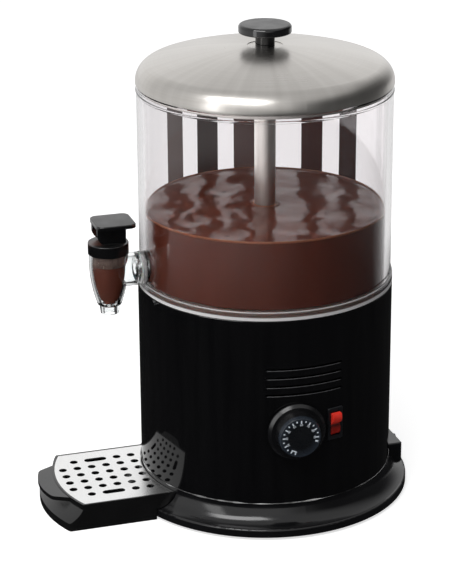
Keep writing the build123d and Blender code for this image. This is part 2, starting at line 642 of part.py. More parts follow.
with BuildPart() as mixer_cap:
    with Locations((0, 0, SHAFT_TOP - DRIVE_H + REST_GAP)):
        Cylinder(SLEEVE_IN - TIGHT, SLEEVE_TOP - SHAFT_TOP + DRIVE_H - REST_GAP, align=UP)
    with Locations((0, 0, SLEEVE_TOP)):
        Cylinder(SLEEVE_R, SLEEVE_CAP_H, align=UP)
    fillet(mixer_cap.edges().sort_by(Axis.Z)[-1], SLEEVE_CAP_H * 0.6)
    with BuildSketch(Plane.XY.offset(SHAFT_TOP - DRIVE_H)):
        Rectangle(DRIVE_FLAT + 2 * RUN_FIT, DRIVE_FLAT + 2 * RUN_FIT)
    extrude(amount=DRIVE_H + REST_GAP, mode=Mode.SUBTRACT)

paddle_arm = ThreePointArc((HUB_R - 3, 0), ((HUB_R + PADDLE_R) / 2, PADDLE_BOW), (PADDLE_R - PADDLE_T, 0))

with BuildPart() as mixer_paddle:
    with Locations((0, 0, SLEEVE_Z)):
        Cylinder(HUB_R, HUB_H, align=UP)
    fillet(mixer_paddle.edges().sort_by(Axis.Z)[-1], HUB_R / 6)
    with BuildSketch(Plane.XY.offset(PAN_Z + PADDLE_LIFT)):
        with PolarLocations(0, 2):
            SlotArc(paddle_arm, PADDLE_T)
    extrude(amount=PADDLE_H)
    with Locations((0, 0, PAN_Z)):
        Cylinder(SLEEVE_R + TIGHT, SLEEVE_LIFT + HUB_H, align=UP, mode=Mode.SUBTRACT)
        Cylinder(COLUMN_FLANGE[0] + STIR_GAP, SLEEVE_LIFT, align=UP, mode=Mode.SUBTRACT)

# Bowl: a thick clear tube with a foot ring, a polished top edge and a flat boss for the tap
OUTLET_FACE = BOWL_R + OUTLET_BOSS_OUT
OUTLET_PAD = BOWL_IN - OUTLET_PAD_IN
outlet_plane = Plane(origin=(0, 0, OUTLET_Z), x_dir=(1, 0, 0), z_dir=(0, -1, 0))

with BuildPart() as bowl:
    with Locations((0, 0, HOUSING_TOP)):
        Cylinder(HOUSING_R, BOWL_FOOT_H, align=UP)
    fillet(bowl.edges().sort_by(Axis.Z)[-1], BOWL_FOOT_ROUND)
    with Locations((0, 0, HOUSING_TOP)):
        Cylinder(BOWL_R, BOWL_H, align=UP)
    chamfer(bowl.edges().sort_by(Axis.Z)[-1], BOWL_EDGE)
    with BuildSketch(outlet_plane.offset(BOWL_IN)):
        Circle(OUTLET_BOSS_R)
    extrude(amount=OUTLET_FACE - BOWL_IN)
    with Locations((0, 0, HOUSING_TOP)):
        Cylinder(BOWL_IN, BOWL_H, align=UP, mode=Mode.SUBTRACT)
    with BuildSketch(outlet_plane.offset(OUTLET_PAD)):
        Circle(OUTLET_PAD_R)
    extrude(amount=BOWL_WALL)
    with BuildSketch(outlet_plane.offset(OUTLET_PAD)):
        Circle(THREAD_R + REST_GAP)
    extrude(amount=OUTLET_FACE - OUTLET_PAD, mode=Mode.SUBTRACT)

with BuildPart() as bowl_seal:
    with Locations((0, 0, HOUSING_TOP)):
        Cylinder(BOWL_IN - REST_GAP, SEAL_H, align=UP)
        Cylinder(PAN_R + REST_GAP, SEAL_H, align=UP, mode=Mode.SUBTRACT)
    fillet(bowl_seal.edges().group_by(Axis.Z)[-1], SEAL_W / 4)

with BuildPart() as hot_chocolate:
    with Locations((0, 0, PAN_Z + LIQUID_GAP)):
        Cylinder(BOWL_IN - LIQUID_GAP, LIQUID_H - LIQUID_GAP, align=UP)
    with Locations((0, 0, PAN_Z)):
        Cylinder(PADDLE_R + STIR_GAP, PADDLE_LIFT + PADDLE_H + STIR_GAP, align=UP, mode=Mode.SUBTRACT)
        Cylinder(HUB_R + STIR_GAP, SLEEVE_LIFT + HUB_H + STIR_GAP, align=UP, mode=Mode.SUBTRACT)
        Cylinder(SLEEVE_R + STIR_GAP, LIQUID_H, align=UP, mode=Mode.SUBTRACT)
    with BuildSketch(outlet_plane.offset(PADDLE_R)):
        Circle(NUT_FLATS / sqrt(3) + LIQUID_GAP)
    extrude(amount=BOWL_IN - PADDLE_R, mode=Mode.SUBTRACT)

# Outlet: the tap's threaded spigot is clamped through the wall by a nut and two washers
NUT_FACE = OUTLET_PAD - WASHER_T
THREAD_TIP = NUT_FACE - NUT_T - THREAD_END
TUBE_FACE = OUTLET_FACE + WASHER_T

with BuildPart() as outlet_washers:
    with BuildSketch(outlet_plane.offset(OUTLET_FACE)):
        Circle(WASHER_R)
        Circle(THREAD_R + REST_GAP, mode=Mode.SUBTRACT)
    extrude(amount=WASHER_T)
    with BuildSketch(outlet_plane.offset(NUT_FACE)):
        Circle(NUT_FLATS / 2)
        Circle(THREAD_R + REST_GAP, mode=Mode.SUBTRACT)
    extrude(amount=WASHER_T)

with BuildPart() as outlet_nut:
    with BuildSketch(outlet_plane.offset(NUT_FACE - NUT_T)):
        RegularPolygon(NUT_FLATS / 2, 6, major_radius=False)
        Circle(THREAD_R + TIGHT, mode=Mode.SUBTRACT)
    extrude(amount=NUT_T)

# Tap: clear cup and tube in one moulding
TAP_Y = -TAP_REACH
CUP_TOP = OUTLET_Z + CUP_RISE
CUP_LOW = OUTLET_Z - CUP_DROP
CUP_MID = (CUP_TOP + CUP_LOW) / 2
CUP_MID_R = (CUP_TOP_R + CUP_LOW_R) / 2 + CUP_BULGE
TIP_Z = CUP_LOW - TIP_H
CUP_FLOOR = CUP_LOW + CUP_WALL
SEAT_LOW = CUP_FLOOR - SEAT_CONE_H
tap_plane = Plane.XZ.offset(TAP_REACH)
tap_axis = Axis((0, TAP_Y, 0), (0, 0, 1))


def cup_inside(shrink):
    """Face of the cup's inside, drawn in by shrink, from the seat cone to the neck's top."""
    low_r = CUP_LOW_R - CUP_WALL - shrink
    top_r = CUP_TOP_R - CUP_WALL - shrink
    with BuildSketch() as inside:
        with BuildLine():
            Polyline((0, SEAT_LOW), (TIP_BORE_R, SEAT_LOW), (low_r, CUP_FLOOR))
            ThreePointArc((low_r, CUP_FLOOR), (CUP_MID_R - CUP_WALL - shrink, CUP_MID), (top_r, CUP_TOP))
            Polyline((top_r, CUP_TOP), (0, CUP_TOP), (0, SEAT_LOW))
        make_face()
    return inside.sketch


with BuildPart() as tap_body:
    with BuildSketch(tap_plane):
        with BuildLine():
            Polyline((0, TIP_Z), (TIP_END_R, TIP_Z), (TIP_R, CUP_LOW - TIP_STEP), (CUP_LOW_R, CUP_LOW))
            ThreePointArc((CUP_LOW_R, CUP_LOW), (CUP_MID_R, CUP_MID), (CUP_TOP_R, CUP_TOP))
            Polyline((CUP_TOP_R, CUP_TOP), (0, CUP_TOP), (0, TIP_Z))
        make_face()
    revolve(axis=tap_axis)
    with BuildSketch(outlet_plane.offset(TUBE_FACE)):
        Circle(TUBE_R)
    extrude(amount=TAP_REACH - TUBE_FACE)
    with Locations((0, TAP_Y, CUP_TOP)):
        Cylinder(CUP_NECK_R, CUP_NECK_H, align=UP)
    with BuildSketch(tap_plane):
        add(cup_inside(0))
    revolve(axis=tap_axis, mode=Mode.SUBTRACT)
    with Locations((0, TAP_Y, CUP_TOP)):
        Cylinder(CUP_TOP_R - 2 * CUP_WALL, CUP_NECK_H, align=UP, mode=Mode.SUBTRACT)
    with Locations((0, TAP_Y, TIP_Z)):
        Cylinder(TIP_BORE_R, SEAT_LOW - TIP_Z, align=UP, mode=Mode.SUBTRACT)
    with BuildSketch(outlet_plane.offset(TUBE_FACE + TUBE_WALL)):
        Circle(TUBE_R - TUBE_WALL)
    extrude(amount=TAP_REACH - TUBE_FACE - TUBE_WALL, mode=Mode.SUBTRACT)
    with BuildSketch(outlet_plane.offset(THREAD_TIP)):
        Circle(THREAD_R)
    extrude(amount=TUBE_FACE - THREAD_TIP)
    with BuildSketch(outlet_plane.offset(THREAD_TIP)):
        Circle(PORT_R)
    extrude(amount=TUBE_FACE + TUBE_WALL - THREAD_TIP, mode=Mode.SUBTRACT)

# Bonnet screwed over the cup's neck, guide for the stem on top
NECK_TOP = CUP_TOP + CUP_NECK_H
BONNET_Z = CUP_TOP + REST_GAP
BONNET_TOP = BONNET_Z + BONNET_H
ROOF_UNDER = BONNET_TOP - BONNET_ROOF

with BuildPart() as tap_bonnet:
    with Locations((0, TAP_Y, BONNET_Z)):
        Cylinder(BONNET_R, BONNET_H, align=UP)
    fillet(tap_bonnet.edges().sort_by(Axis.Z)[-1], BONNET_ROUND)
    with Locations((0, TAP_Y, BONNET_TOP)):
        Cylinder(GUIDE_R, GUIDE_H, align=UP)
    with Locations((0, TAP_Y, BONNET_Z)):
        Cylinder(CUP_NECK_R + TIGHT, ROOF_UNDER - BONNET_Z, align=UP, mode=Mode.SUBTRACT)
        Cylinder(STEM_R + RUN_FIT, BONNET_H + GUIDE_H, align=UP, mode=Mode.SUBTRACT)

with BuildPart() as bonnet_ring:
    with Locations((0, TAP_Y, NECK_TOP)):
        Cylinder(CUP_NECK_R - REST_GAP, ROOF_UNDER - NECK_TOP, align=UP)
        Cylinder(CUP_TOP_R - 2 * CUP_WALL, ROOF_UNDER - NECK_TOP, align=UP, mode=Mode.SUBTRACT)

# Stem with its soft plug, lifted by the cam of the lever
PIN_Z = BONNET_TOP + CAM_GAP + CAM_R
STEM_TOP = PIN_Z + STEM_OVER
PLUG_Z = SEAT_LOW + REST_GAP
FLANGE_Z = CUP_TOP - FLANGE_T
pin_plane = Plane(origin=(0, TAP_Y, PIN_Z), x_dir=(0, 1, 0), z_dir=(1, 0, 0))

with BuildPart() as tap_stem:
    with Locations((0, TAP_Y, PLUG_Z + PLUG_H / 2)):
        Cylinder(STEM_R, STEM_TOP - PLUG_Z - PLUG_H / 2, align=UP)
    with Locations((0, TAP_Y, FLANGE_Z)):
        Cylinder(FLANGE_R, FLANGE_T, align=UP)
    with BuildSketch(pin_plane):
        Circle(PIN_R + TIGHT)
    extrude(amount=STEM_R + 1, both=True, mode=Mode.SUBTRACT)

with BuildPart() as stem_plug:
    with BuildSketch(tap_plane):
        with BuildLine():
            plug_low = TIP_BORE_R - LIQUID_GAP
            plug_top = PLUG_Z + PLUG_H
            Polyline(
                (0, PLUG_Z), (plug_low, PLUG_Z), (PLUG_TIP_R, PLUG_Z + 1), (PLUG_R, PLUG_Z + SEAT_CONE_H),
                (PLUG_R, plug_top - 1), (PLUG_R - 1, plug_top), (0, plug_top), (0, PLUG_Z),
            )
        make_face()
    revolve(axis=tap_axis)
    with Locations((0, TAP_Y, PLUG_Z + PLUG_H / 2)):
        Cylinder(STEM_R + TIGHT, PLUG_H, align=UP, mode=Mode.SUBTRACT)

# Return spring between the stem's flange and the bonnet's roof
SPRING_LOW = CUP_TOP + SPRING_WIRE + REST_GAP
SPRING_HIGH = ROOF_UNDER - SPRING_WIRE - REST_GAP


def spring_point(turn):
    """Point on the spring's middle line after a number of turns."""
    angle = 2 * pi * turn
    rise = (SPRING_HIGH - SPRING_LOW) * turn / SPRING_TURNS
    return (SPRING_R * cos(angle), TAP_Y + SPRING_R * sin(angle), SPRING_LOW + rise)


with BuildPart() as tap_spring:
    with BuildLine() as coil:
        for quarter in range(4 * SPRING_TURNS):
            ThreePointArc(*(spring_point((quarter + step) / 4) for step in (0, 0.5, 1)))
    with BuildSketch(Plane(origin=coil.line @ 0, z_dir=coil.line % 0)):
        Circle(SPRING_WIRE)
    sweep(path=coil.line)

# Lever: press plate on two cam cheeks that ride on the bonnet
PRESS_Z = PIN_Z + PRESS_PLATE_RISE
cheek_side = Plane(origin=(CHEEK_IN, TAP_Y, PIN_Z), x_dir=(0, 1, 0), z_dir=(1, 0, 0))

with BuildPart() as tap_lever:
    with BuildSketch(Plane.XY.offset(PRESS_Z)):
        with Locations((0, TAP_Y + PRESS_PLATE_BACK)):
            RectangleRounded(PRESS_PLATE[0], PRESS_PLATE[1], PRESS_PLATE_ROUND)
    extrude(amount=PRESS_PLATE[2])
    fillet(tap_lever.faces().sort_by(Axis.Z)[-1].edges(), PRESS_PLATE_EDGE)
    with BuildSketch(cheek_side) as cheek:
        with BuildLine():
            cam_foot = (-CAM_THROW, -CAM_R)
            cam_front = (-CAM_THROW - CAM_R, 0)
            cheek_front = (-CAM_THROW - CAM_R, PRESS_PLATE_RISE)
            heel = (CHEEK_HEEL, -CAM_R)
            Polyline(cam_foot, heel, (CHEEK_BACK, PRESS_PLATE_RISE), cheek_front, cam_front)
            RadiusArc(cam_foot, cam_front, CAM_R)
        make_face()
        fillet(cheek.vertices().sort_by_distance(heel)[0], CHEEK_ROUND)
    extrude(amount=CHEEK_T)
    mirror(about=Plane.YZ)
    with BuildSketch(pin_plane):
        Circle(PIN_R + RUN_FIT)
    extrude(amount=CHEEK_IN + CHEEK_T, both=True, mode=Mode.SUBTRACT)

with BuildPart() as lever_pin:
    with BuildSketch(pin_plane):
        Circle(PIN_R)
    extrude(amount=CHEEK_IN + CHEEK_T, both=True)
    chamfer(lever_pin.edges().filter_by(GeomType.CIRCLE), PIN_R / 4)

with BuildPart() as tap_chocolate:
    with BuildSketch(tap_plane):
        add(cup_inside(LIQUID_GAP))
        with Locations((0, CUP_FLOOR)):
            Rectangle(2 * CUP_TOP_R, 2 * CUP_WALL, mode=Mode.SUBTRACT)
        with Locations((0, OUTLET_Z + TAP_LEVEL)):
            Rectangle(2 * CUP_TOP_R, CUP_RISE, align=(Align.CENTER, Align.MIN), mode=Mode.SUBTRACT)
    revolve(axis=tap_axis)
    with Locations((0, TAP_Y, SEAT_LOW)):
        Cylinder(PLUG_R + LIQUID_GAP, 2 * PLUG_H, align=UP, mode=Mode.SUBTRACT)
        Cylinder(STEM_R + LIQUID_GAP, CUP_RISE + CUP_DROP, align=UP, mode=Mode.SUBTRACT)

# Lid: a spun dome with an inward lip and a collar that drops into the bowl
LID_Z = BOWL_TOP + REST_GAP
LID_TOP = LID_Z + LID_RISE
SHOULDER_X = LID_R - LID_SHOULDER
SHOULDER_Z = LID_Z + LID_SKIRT
CROWN_RISE = SHOULDER_Z - LID_TOP
CROWN_R = (LID_SHOULDER**2 - SHOULDER_X**2 - CROWN_RISE**2) / (2 * (CROWN_RISE + LID_SHOULDER))
SHOULDER_SWEEP = degrees(atan2(CROWN_RISE + CROWN_R, SHOULDER_X))
COLLAR_R = BOWL_IN - HAND_FIT
LID_SEAT = LID_TOP - LID_SEAT_DROP
LID_UNDER = LID_SEAT - LID_T


def dome_face(shrink, low):
    """Half section of the dome, drawn in by shrink, closed on the axis."""
    start = (LID_R - shrink, SHOULDER_Z)
    with BuildSketch() as dome:
        with BuildLine():
            Polyline((0, low), (LID_R - shrink, low), start)
            shoulder = JernArc(start, (0, 1), LID_SHOULDER - shrink, SHOULDER_SWEEP)
            TangentArc(shoulder @ 1, (0, LID_TOP - shrink), tangent=shoulder % 1)
            Line((0, LID_TOP - shrink), (0, low))
        make_face()
    return dome.sketch


with BuildPart() as lid_dome:
    with BuildSketch(Plane.XZ):
        add(dome_face(0, LID_Z))
        add(dome_face(LID_T, LID_Z + LID_T), mode=Mode.SUBTRACT)
    revolve(axis=Axis.Z)
    with Locations((0, 0, LID_Z - LID_COLLAR_H)):
        Cylinder(COLLAR_R, LID_COLLAR_H + LID_T, align=UP)
        Cylinder(COLLAR_R - LID_T, LID_COLLAR_H + LID_T, align=UP, mode=Mode.SUBTRACT)
    with Locations((0, 0, LID_UNDER)):
        Cylinder(LID_SEAT_R + LID_T, LID_T + LID_SEAT_DROP / 4, align=UP)
    with Locations((0, 0, LID_SEAT)):
        Cylinder(LID_SEAT_R, 2 * LID_SEAT_DROP, align=UP, mode=Mode.SUBTRACT)
    Cylinder(KNOB_SCREW_R + REST_GAP, LID_TOP, align=UP, mode=Mode.SUBTRACT)

KNOB_Z = LID_SEAT + KNOB_STEM_H

with BuildPart() as lid_knob:
    with Locations((0, 0, KNOB_Z)):
        Cylinder(KNOB_R, KNOB_T, align=UP)
    fillet(lid_knob.edges().sort_by(Axis.Z)[-1], KNOB_ROUND)
    fillet(lid_knob.edges().sort_by(Axis.Z)[0], KNOB_EDGE)
    with Locations((0, 0, LID_SEAT)):
        Cylinder(KNOB_STEM_R, KNOB_STEM_H, align=UP)
        Cylinder(KNOB_SCREW_R + TIGHT, KNOB_SCREW_LEN, align=UP, mode=Mode.SUBTRACT)

WASHER_UNDER = LID_UNDER - KNOB_WASHER[1] - REST_GAP

with BuildPart() as lid_washer:
    with Locations((0, 0, WASHER_UNDER)):
        Cylinder(KNOB_WASHER[0], KNOB_WASHER[1], align=UP)
        Cylinder(KNOB_SCREW_R + REST_GAP, KNOB_WASHER[1], align=UP, mode=Mode.SUBTRACT)

with BuildPart() as lid_screw:
    with Locations((0, 0, WASHER_UNDER)):
        Cylinder(KNOB_HEAD[0], KNOB_HEAD[1], align=DOWN)
        Cylinder(KNOB_SCREW_R, LID_SEAT + KNOB_SCREW_LEN - WASHER_UNDER - 1, align=UP)
    fillet(lid_screw.edges().sort_by(Axis.Z)[0], KNOB_HEAD[1] / 3)

# Drip tray with a hollowed sloping front and a finger tab, and the perforated grille in its rim


def tray_face(inset, setback):
    """Plan of the tray with its bowed front, drawn in by inset, its front set back."""
    half = TRAY_W / 2 - inset
    front = -TRAY_REACH + setback + inset
    corner = front + TRAY_BOW
    with BuildSketch() as plan:
        with BuildLine():
            Polyline((-half, corner), (-half, -HOUSING_R / 2), (half, -HOUSING_R / 2), (half, corner))
            ThreePointArc((half, corner), (0, front), (-half, corner))
        make_face()
    return plan.sketch


tray_relief = body_envelope(TRAY_GAP, HOUSING_TOP)
tray_back = body_envelope(TRAY_GAP + TRAY_WALL, HOUSING_TOP)
GRILLE_Z = TRAY_H - GRILLE_T - GRILLE_PLAY
TRAY_TOP_BACK = TRAY_SLOPE[0]
SLOPE_TOP = TRAY_BAND + TRAY_SLOPE[1]
HOLLOW_Z = TRAY_BAND + TRAY_HOLLOW[1]

with BuildPart() as tray_hollow:
    with BuildSketch(Plane.XY.offset(TRAY_WALL)):
        add(tray_face(TRAY_RIM + TRAY_LEDGE, TRAY_HOLLOW[0] / 2))
    with BuildSketch(Plane.XY.offset(SLOPE_TOP)):
        add(tray_face(TRAY_RIM + TRAY_LEDGE, TRAY_TOP_BACK))
    loft()
    with BuildSketch(Plane.XY.offset(SLOPE_TOP)):
        add(tray_face(TRAY_RIM + TRAY_LEDGE, TRAY_TOP_BACK))
    extrude(amount=TRAY_H - SLOPE_TOP)
    add(tray_back, mode=Mode.SUBTRACT)

with BuildPart() as grille_seat:
    with BuildSketch(Plane.XY.offset(GRILLE_Z)):
        add(tray_face(TRAY_RIM, TRAY_TOP_BACK))
    extrude(amount=TRAY_H)

with BuildPart() as drip_tray:
    with BuildSketch():
        add(tray_face(0, 0))
    extrude(amount=TRAY_BAND)
    with BuildSketch(Plane.XY.offset(TRAY_BAND)):
        add(tray_face(0, 0))
    with BuildSketch(Plane.XY.offset(HOLLOW_Z)):
        add(tray_face(0, TRAY_HOLLOW[0]))
    with BuildSketch(Plane.XY.offset(SLOPE_TOP)):
        add(tray_face(0, TRAY_TOP_BACK))
    loft()
    with BuildSketch(Plane.XY.offset(SLOPE_TOP)):
        add(tray_face(0, TRAY_TOP_BACK))
    extrude(amount=TRAY_H - SLOPE_TOP)
    with BuildSketch(Plane.XY.offset(TRAY_H - TAB_DROP)) as tab:
        with BuildLine():
            tab_tip = -TRAY_REACH - TAB_OUT
            tab_root = -TRAY_REACH + TRAY_TOP_BACK + TRAY_BOW / 2 + TAB_LAP
            near_corner = (TAB_FRONT / 2, tab_tip + TAB_BOW)
            far_corner = (-TAB_FRONT / 2, tab_tip + TAB_BOW)
            Polyline(near_corner, (TAB_ROOT / 2, tab_root), (-TAB_ROOT / 2, tab_root), far_corner)
            ThreePointArc(far_corner, (0, tab_tip), near_corner)
        make_face()
        fillet(tab.vertices().group_by(Axis.Y)[0], TAB_ROUND)
    extrude(amount=-TAB_T)
    add(tray_relief, mode=Mode.SUBTRACT)
    add(tray_hollow.part, mode=Mode.SUBTRACT)
    add(grille_seat.part, mode=Mode.SUBTRACT)

HOLES_Y = -TRAY_REACH + HOLES_SET
SLOT_LEN = ROW_PITCH + 2 * HOLE_R
OUTER_X = HOLE_PITCH * (HOLE_COLUMNS - 1) / 2

with BuildPart() as drip_grille:
    with BuildSketch(Plane.XY.offset(GRILLE_Z + REST_GAP)):
        add(tray_face(TRAY_RIM + GRILLE_PLAY, TRAY_TOP_BACK))
        with Locations((0, HOLES_Y)):
            with GridLocations(HOLE_PITCH, ROW_PITCH, HOLE_COLUMNS - 2, HOLE_ROWS):
                Circle(HOLE_R, mode=Mode.SUBTRACT)
            with Locations((-OUTER_X, 0), (OUTER_X, 0)):
                SlotOverall(SLOT_LEN, 2 * HOLE_R, rotation=90, mode=Mode.SUBTRACT)
                with Locations((0, -1.5 * ROW_PITCH), (0, 1.5 * ROW_PITCH), (0, 2.5 * ROW_PITCH)):
                    Circle(HOLE_R, mode=Mode.SUBTRACT)
    extrude(amount=GRILLE_T)
    add(tray_relief, mode=Mode.SUBTRACT)

PIECES = {
    "rubber_feet": rubber_feet,
    "bottom_plate": bottom_plate,
    "bottom_plate_screws": bottom_plate_screws,
    "base_skirt": base_skirt,
    "housing_shell": housing_shell,
    "rear_box": rear_box,
    "cable_gland": cable_gland,
    "dial_knob": dial_knob,
    "dial_spindle": dial_spindle,
    "thermostat_body": thermostat_body,
    "thermostat_bulb": thermostat_bulb,
    "switch_bezel": switch_bezel,
    "switch_rocker": switch_rocker,
    "heated_pan": heated_pan,
    "heating_element": heating_element,
    "centre_column": centre_column,
    "column_bushes": column_bushes,
    "drive_shaft": drive_shaft,
    "drive_coupling": drive_coupling,
    "motor_bracket": motor_bracket,
    "gearbox": gearbox,
    "motor": motor,
    "motor_screws": motor_screws,
    "terminal_block": terminal_block,
    "mixer_sleeve": mixer_sleeve,
    "mixer_cap": mixer_cap,
    "mixer_paddle": mixer_paddle,
    "bowl": bowl,
    "bowl_seal": bowl_seal,
    "hot_chocolate": hot_chocolate,
    "outlet_washers": outlet_washers,
    "outlet_nut": outlet_nut,
    "tap_body": tap_body,
    "tap_bonnet": tap_bonnet,
    "bonnet_ring": bonnet_ring,
    "tap_stem": tap_stem,
    "stem_plug": stem_plug,
    "tap_spring": tap_spring,
    "tap_lever": tap_lever,
    "lever_pin": lever_pin,
    "tap_chocolate": tap_chocolate,
    "lid_dome": lid_dome,
    "lid_knob": lid_knob,
    "lid_washer": lid_washer,
    "lid_screw": lid_screw,
    "drip_tray": drip_tray,
    "drip_grille": drip_grille,
}

os.makedirs("parts", exist_ok=True)
for node, piece in PIECES.items():
    piece.part.label = node
    export_step(piece.part, f"parts/{node}.step")
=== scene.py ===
from math import asin, cos, exp, pi, radians, sin

import bmesh
import bpy
from mathutils import Matrix, Vector, noise


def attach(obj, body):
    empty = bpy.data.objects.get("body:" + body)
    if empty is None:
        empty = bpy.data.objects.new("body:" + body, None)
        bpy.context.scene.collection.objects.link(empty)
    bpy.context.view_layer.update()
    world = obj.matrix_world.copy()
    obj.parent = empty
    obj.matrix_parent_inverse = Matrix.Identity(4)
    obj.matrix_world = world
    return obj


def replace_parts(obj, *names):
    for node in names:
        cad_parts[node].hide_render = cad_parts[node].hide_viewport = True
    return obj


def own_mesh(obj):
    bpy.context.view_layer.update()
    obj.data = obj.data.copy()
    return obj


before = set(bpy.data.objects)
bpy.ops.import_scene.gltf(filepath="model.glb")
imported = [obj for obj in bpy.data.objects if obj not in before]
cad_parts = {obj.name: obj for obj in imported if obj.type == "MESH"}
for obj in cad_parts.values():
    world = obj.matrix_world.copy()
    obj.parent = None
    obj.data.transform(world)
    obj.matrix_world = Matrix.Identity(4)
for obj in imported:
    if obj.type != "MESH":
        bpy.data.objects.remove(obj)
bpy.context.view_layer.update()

scene = bpy.context.scene

# Sizes in millimetres and angles in degrees, in the frame of the solids. Housing, its vents and the seam below it:
HOUSING_R = 123.7
VENT_LOW = (166.3, 157.7, 149.1, 140.5)
VENT_HALF = 36.5
VENT_LIP_R = 0.4
VENT_LIP_IN = 0.36
SEAM_Z = 30.0
SEAL_R = 1.1
SEAL_OUT = 0.3
SEAL_LEAST = 0.15
SEAL_MEAN = 0.55
SEAL_VARIES = 1.1
SEAL_LUMPS = 7
SEAL_BACK = 3
# bowl, with the outlet's boss outside and pad inside
BOWL_IN = 115.8
BOWL_R = 121.8
BOWL_LOW = 216.5
BOWL_TOP = 412.5
BOWL_FOOT = 8.5
BOWL_EDGE = 1.6
FOOT_ROUND = 1.5
BEAD_Z = 405.6
BEAD_OUT = 0.6
BEAD_HALF = 1.3
OUTLET_Z = 238.5
OUTLET_R = 8.6
OUTLET_REACH = (110.0, 130.0)
WALL_MIDDLE = 118.5
BOSS_R = 16.4
BOSS_FACE = 125.8
PAD_R = 13.0
PAD_FACE = 112.5
# chocolate and mixer sleeve
LIQUID_EDGE_R = 115.5
LIQUID_Z = 290.0
LIQUID_TOP = 290.9
LIQUID_ROOT = 289.8
LIP_RISE = 1.2
LIP_WALL = 0.7
LIP_SLEEVE = 1.2
LUMP_RISE = 1.3
LUMP = 30
LUMP_SMALL = 14
SMALL_SHARE = 0.22
CALM_WALL = 6
CALM_SLEEVE = 4
SLEEVE_R = 10.2
SLEEVE_GAP = 0.3
# tap: cup, the film in it, bonnet, stem and lever
TAP_Y = -156.0
CUP_LEVEL = 246.0
CUP_TOP = 257.0
FILM_OUT = (15.5, 15.4, 15.2)
FILM_IN = (15.3, 15.25, 15.05)
BONNET_R = 19.4
BONNET_LOW = 257.1
BONNET_TOP = 268.1
BONNET_ROOF = 264.1
BONNET_EDGE = 0.3
SHOULDER = 0.6
SHOULDER_RING = 0.8
NECK_BORE = 17.02
STEM_BORE = 3.05
GUIDE_R = 6.0
GUIDE_H = 3.0
LEVER_PIN_Z = 278.45
SPILL_AHEAD = 10.0
SPILL_DROP = 7.0
PLATE_RISE = 6.7
PLATE_BACK = 5.0
PLATE_HALF = 19.0
PLATE_CORNER = 10.0
CORNER_R = 7.0
CORNER_SIDE = 8.0
CHEEK_FACES = (8.0, 12.5)
CHEEK_DROP = 10.0
CHEEK_REAR_LOW = 10.5
CHEEK_REAR_TOP = 14.7
CHEEK_UPRIGHT = 14.4
# drip tray: just inside its sides and rim, and where the slope and the tab's front begin
TRAY_SIDE = 58.9
TRAY_RIM = 26.4
TRAY_SLOPE_Y = -200.0
TRAY_TAB_Y = -213.8
# dial, its print and the switch
DIAL_ANGLE = -4.3
DIAL_Z = 105.0
DIAL_FACE = 141.5
MARK_COUNT = 19
MARK_FIRST = 18.5
MARK_STEP = 14.86
MARK_END = 17.5
MARK_LONG = 14.5
MARK_SHORT = 15.9
MARK_W = 1.2
MARK_LAST_W = 1.6
LINK_R = 14.3
FIGURE_R = 13.2
FIGURE_H = 2.9
PRINT_THICK = 0.08
SWITCH_Z = 106.3

# Triangles of a CAD node are joined at this distance in metres; faces that meet at more degrees than this show an edge
JOIN = 0.00001
CREASE = 30

# The photograph's viewing direction, round the upright axis from the front, and its left-hand and front sides
VIEW_TURN = radians(72)
VIEW_LEFT = (-cos(VIEW_TURN), -sin(VIEW_TURN), 0)
VIEW_FRONT = (sin(VIEW_TURN), -cos(VIEW_TURN), 0)
# its focal length, sideways shift and height in pixels, and the eye's place in metres and tilt
FOCAL = 2171
SHIFT = -39
FRAME_H = 584
SENSOR = 36
EYE_OUT = 1.987
EYE_UP = 0.94405
EYE_DOWN = 20.55

# Studio in metres: the floor's side, the backdrop strips' width, height and place, and the reflector's
FLOOR = 40
STRIP = (0.027, 0.5)
STRIP_BACK = 0.35
STRIP_Z = 0.42
CARD = (0.32, 1.0)
CARD_TURN = VIEW_TURN - radians(44)
CARD_OUT = 1.2
CARD_Z = 0.64

# Most values of a noise lie in this range
NOISE_SPAN = {"From Min": 0.3, "From Max": 0.7}
METAL = {"Metallic": 1.0}
WAXY = {"IOR": 1.48, "Subsurface Weight": 0.15, "Subsurface Scale": 0.002}
COCOA = {"Subsurface Weight": 0.15, "Subsurface Scale": 0.004, "Subsurface Radius": (1.0, 0.4, 0.25)}


def linear(code):
    """An sRGB hex colour as linear red, green, blue and alpha."""
    parts = [int(code[i:i + 2], 16) / 255 for i in (1, 3, 5)]
    return [c / 12.92 if c <= 0.04045 else ((c + 0.055) / 1.055) ** 2.4 for c in parts] + [1.0]


def per(size):
    """Texture scale at which one feature is size millimetres wide."""
    return 1000 / size


def add(tree, kind, sockets=(), out=None, **settings):
    """Adds a node; each socket gets a value or the output that feeds it. Gives back the node's output."""
    node = tree.nodes.new(kind)
    for field, value in settings.items():
        setattr(node, field, value)
    for socket, value in dict(sockets).items():
        if isinstance(value, bpy.types.NodeSocket):
            tree.links.new(value, node.inputs[socket])
        else:
            node.inputs[socket].default_value = value
    live = [port for port in node.outputs if port.enabled]
    return node.outputs[out] if out else live[0] if live else None


def finish(name):
    """A bare material; gives back it, its nodes and Object coordinates."""
    material = bpy.data.materials.new(name)
    material.use_nodes = True
    material.node_tree.nodes.clear()
    return material, material.node_tree, add(material.node_tree, "ShaderNodeTexCoord", out="Object")


finishes = {}

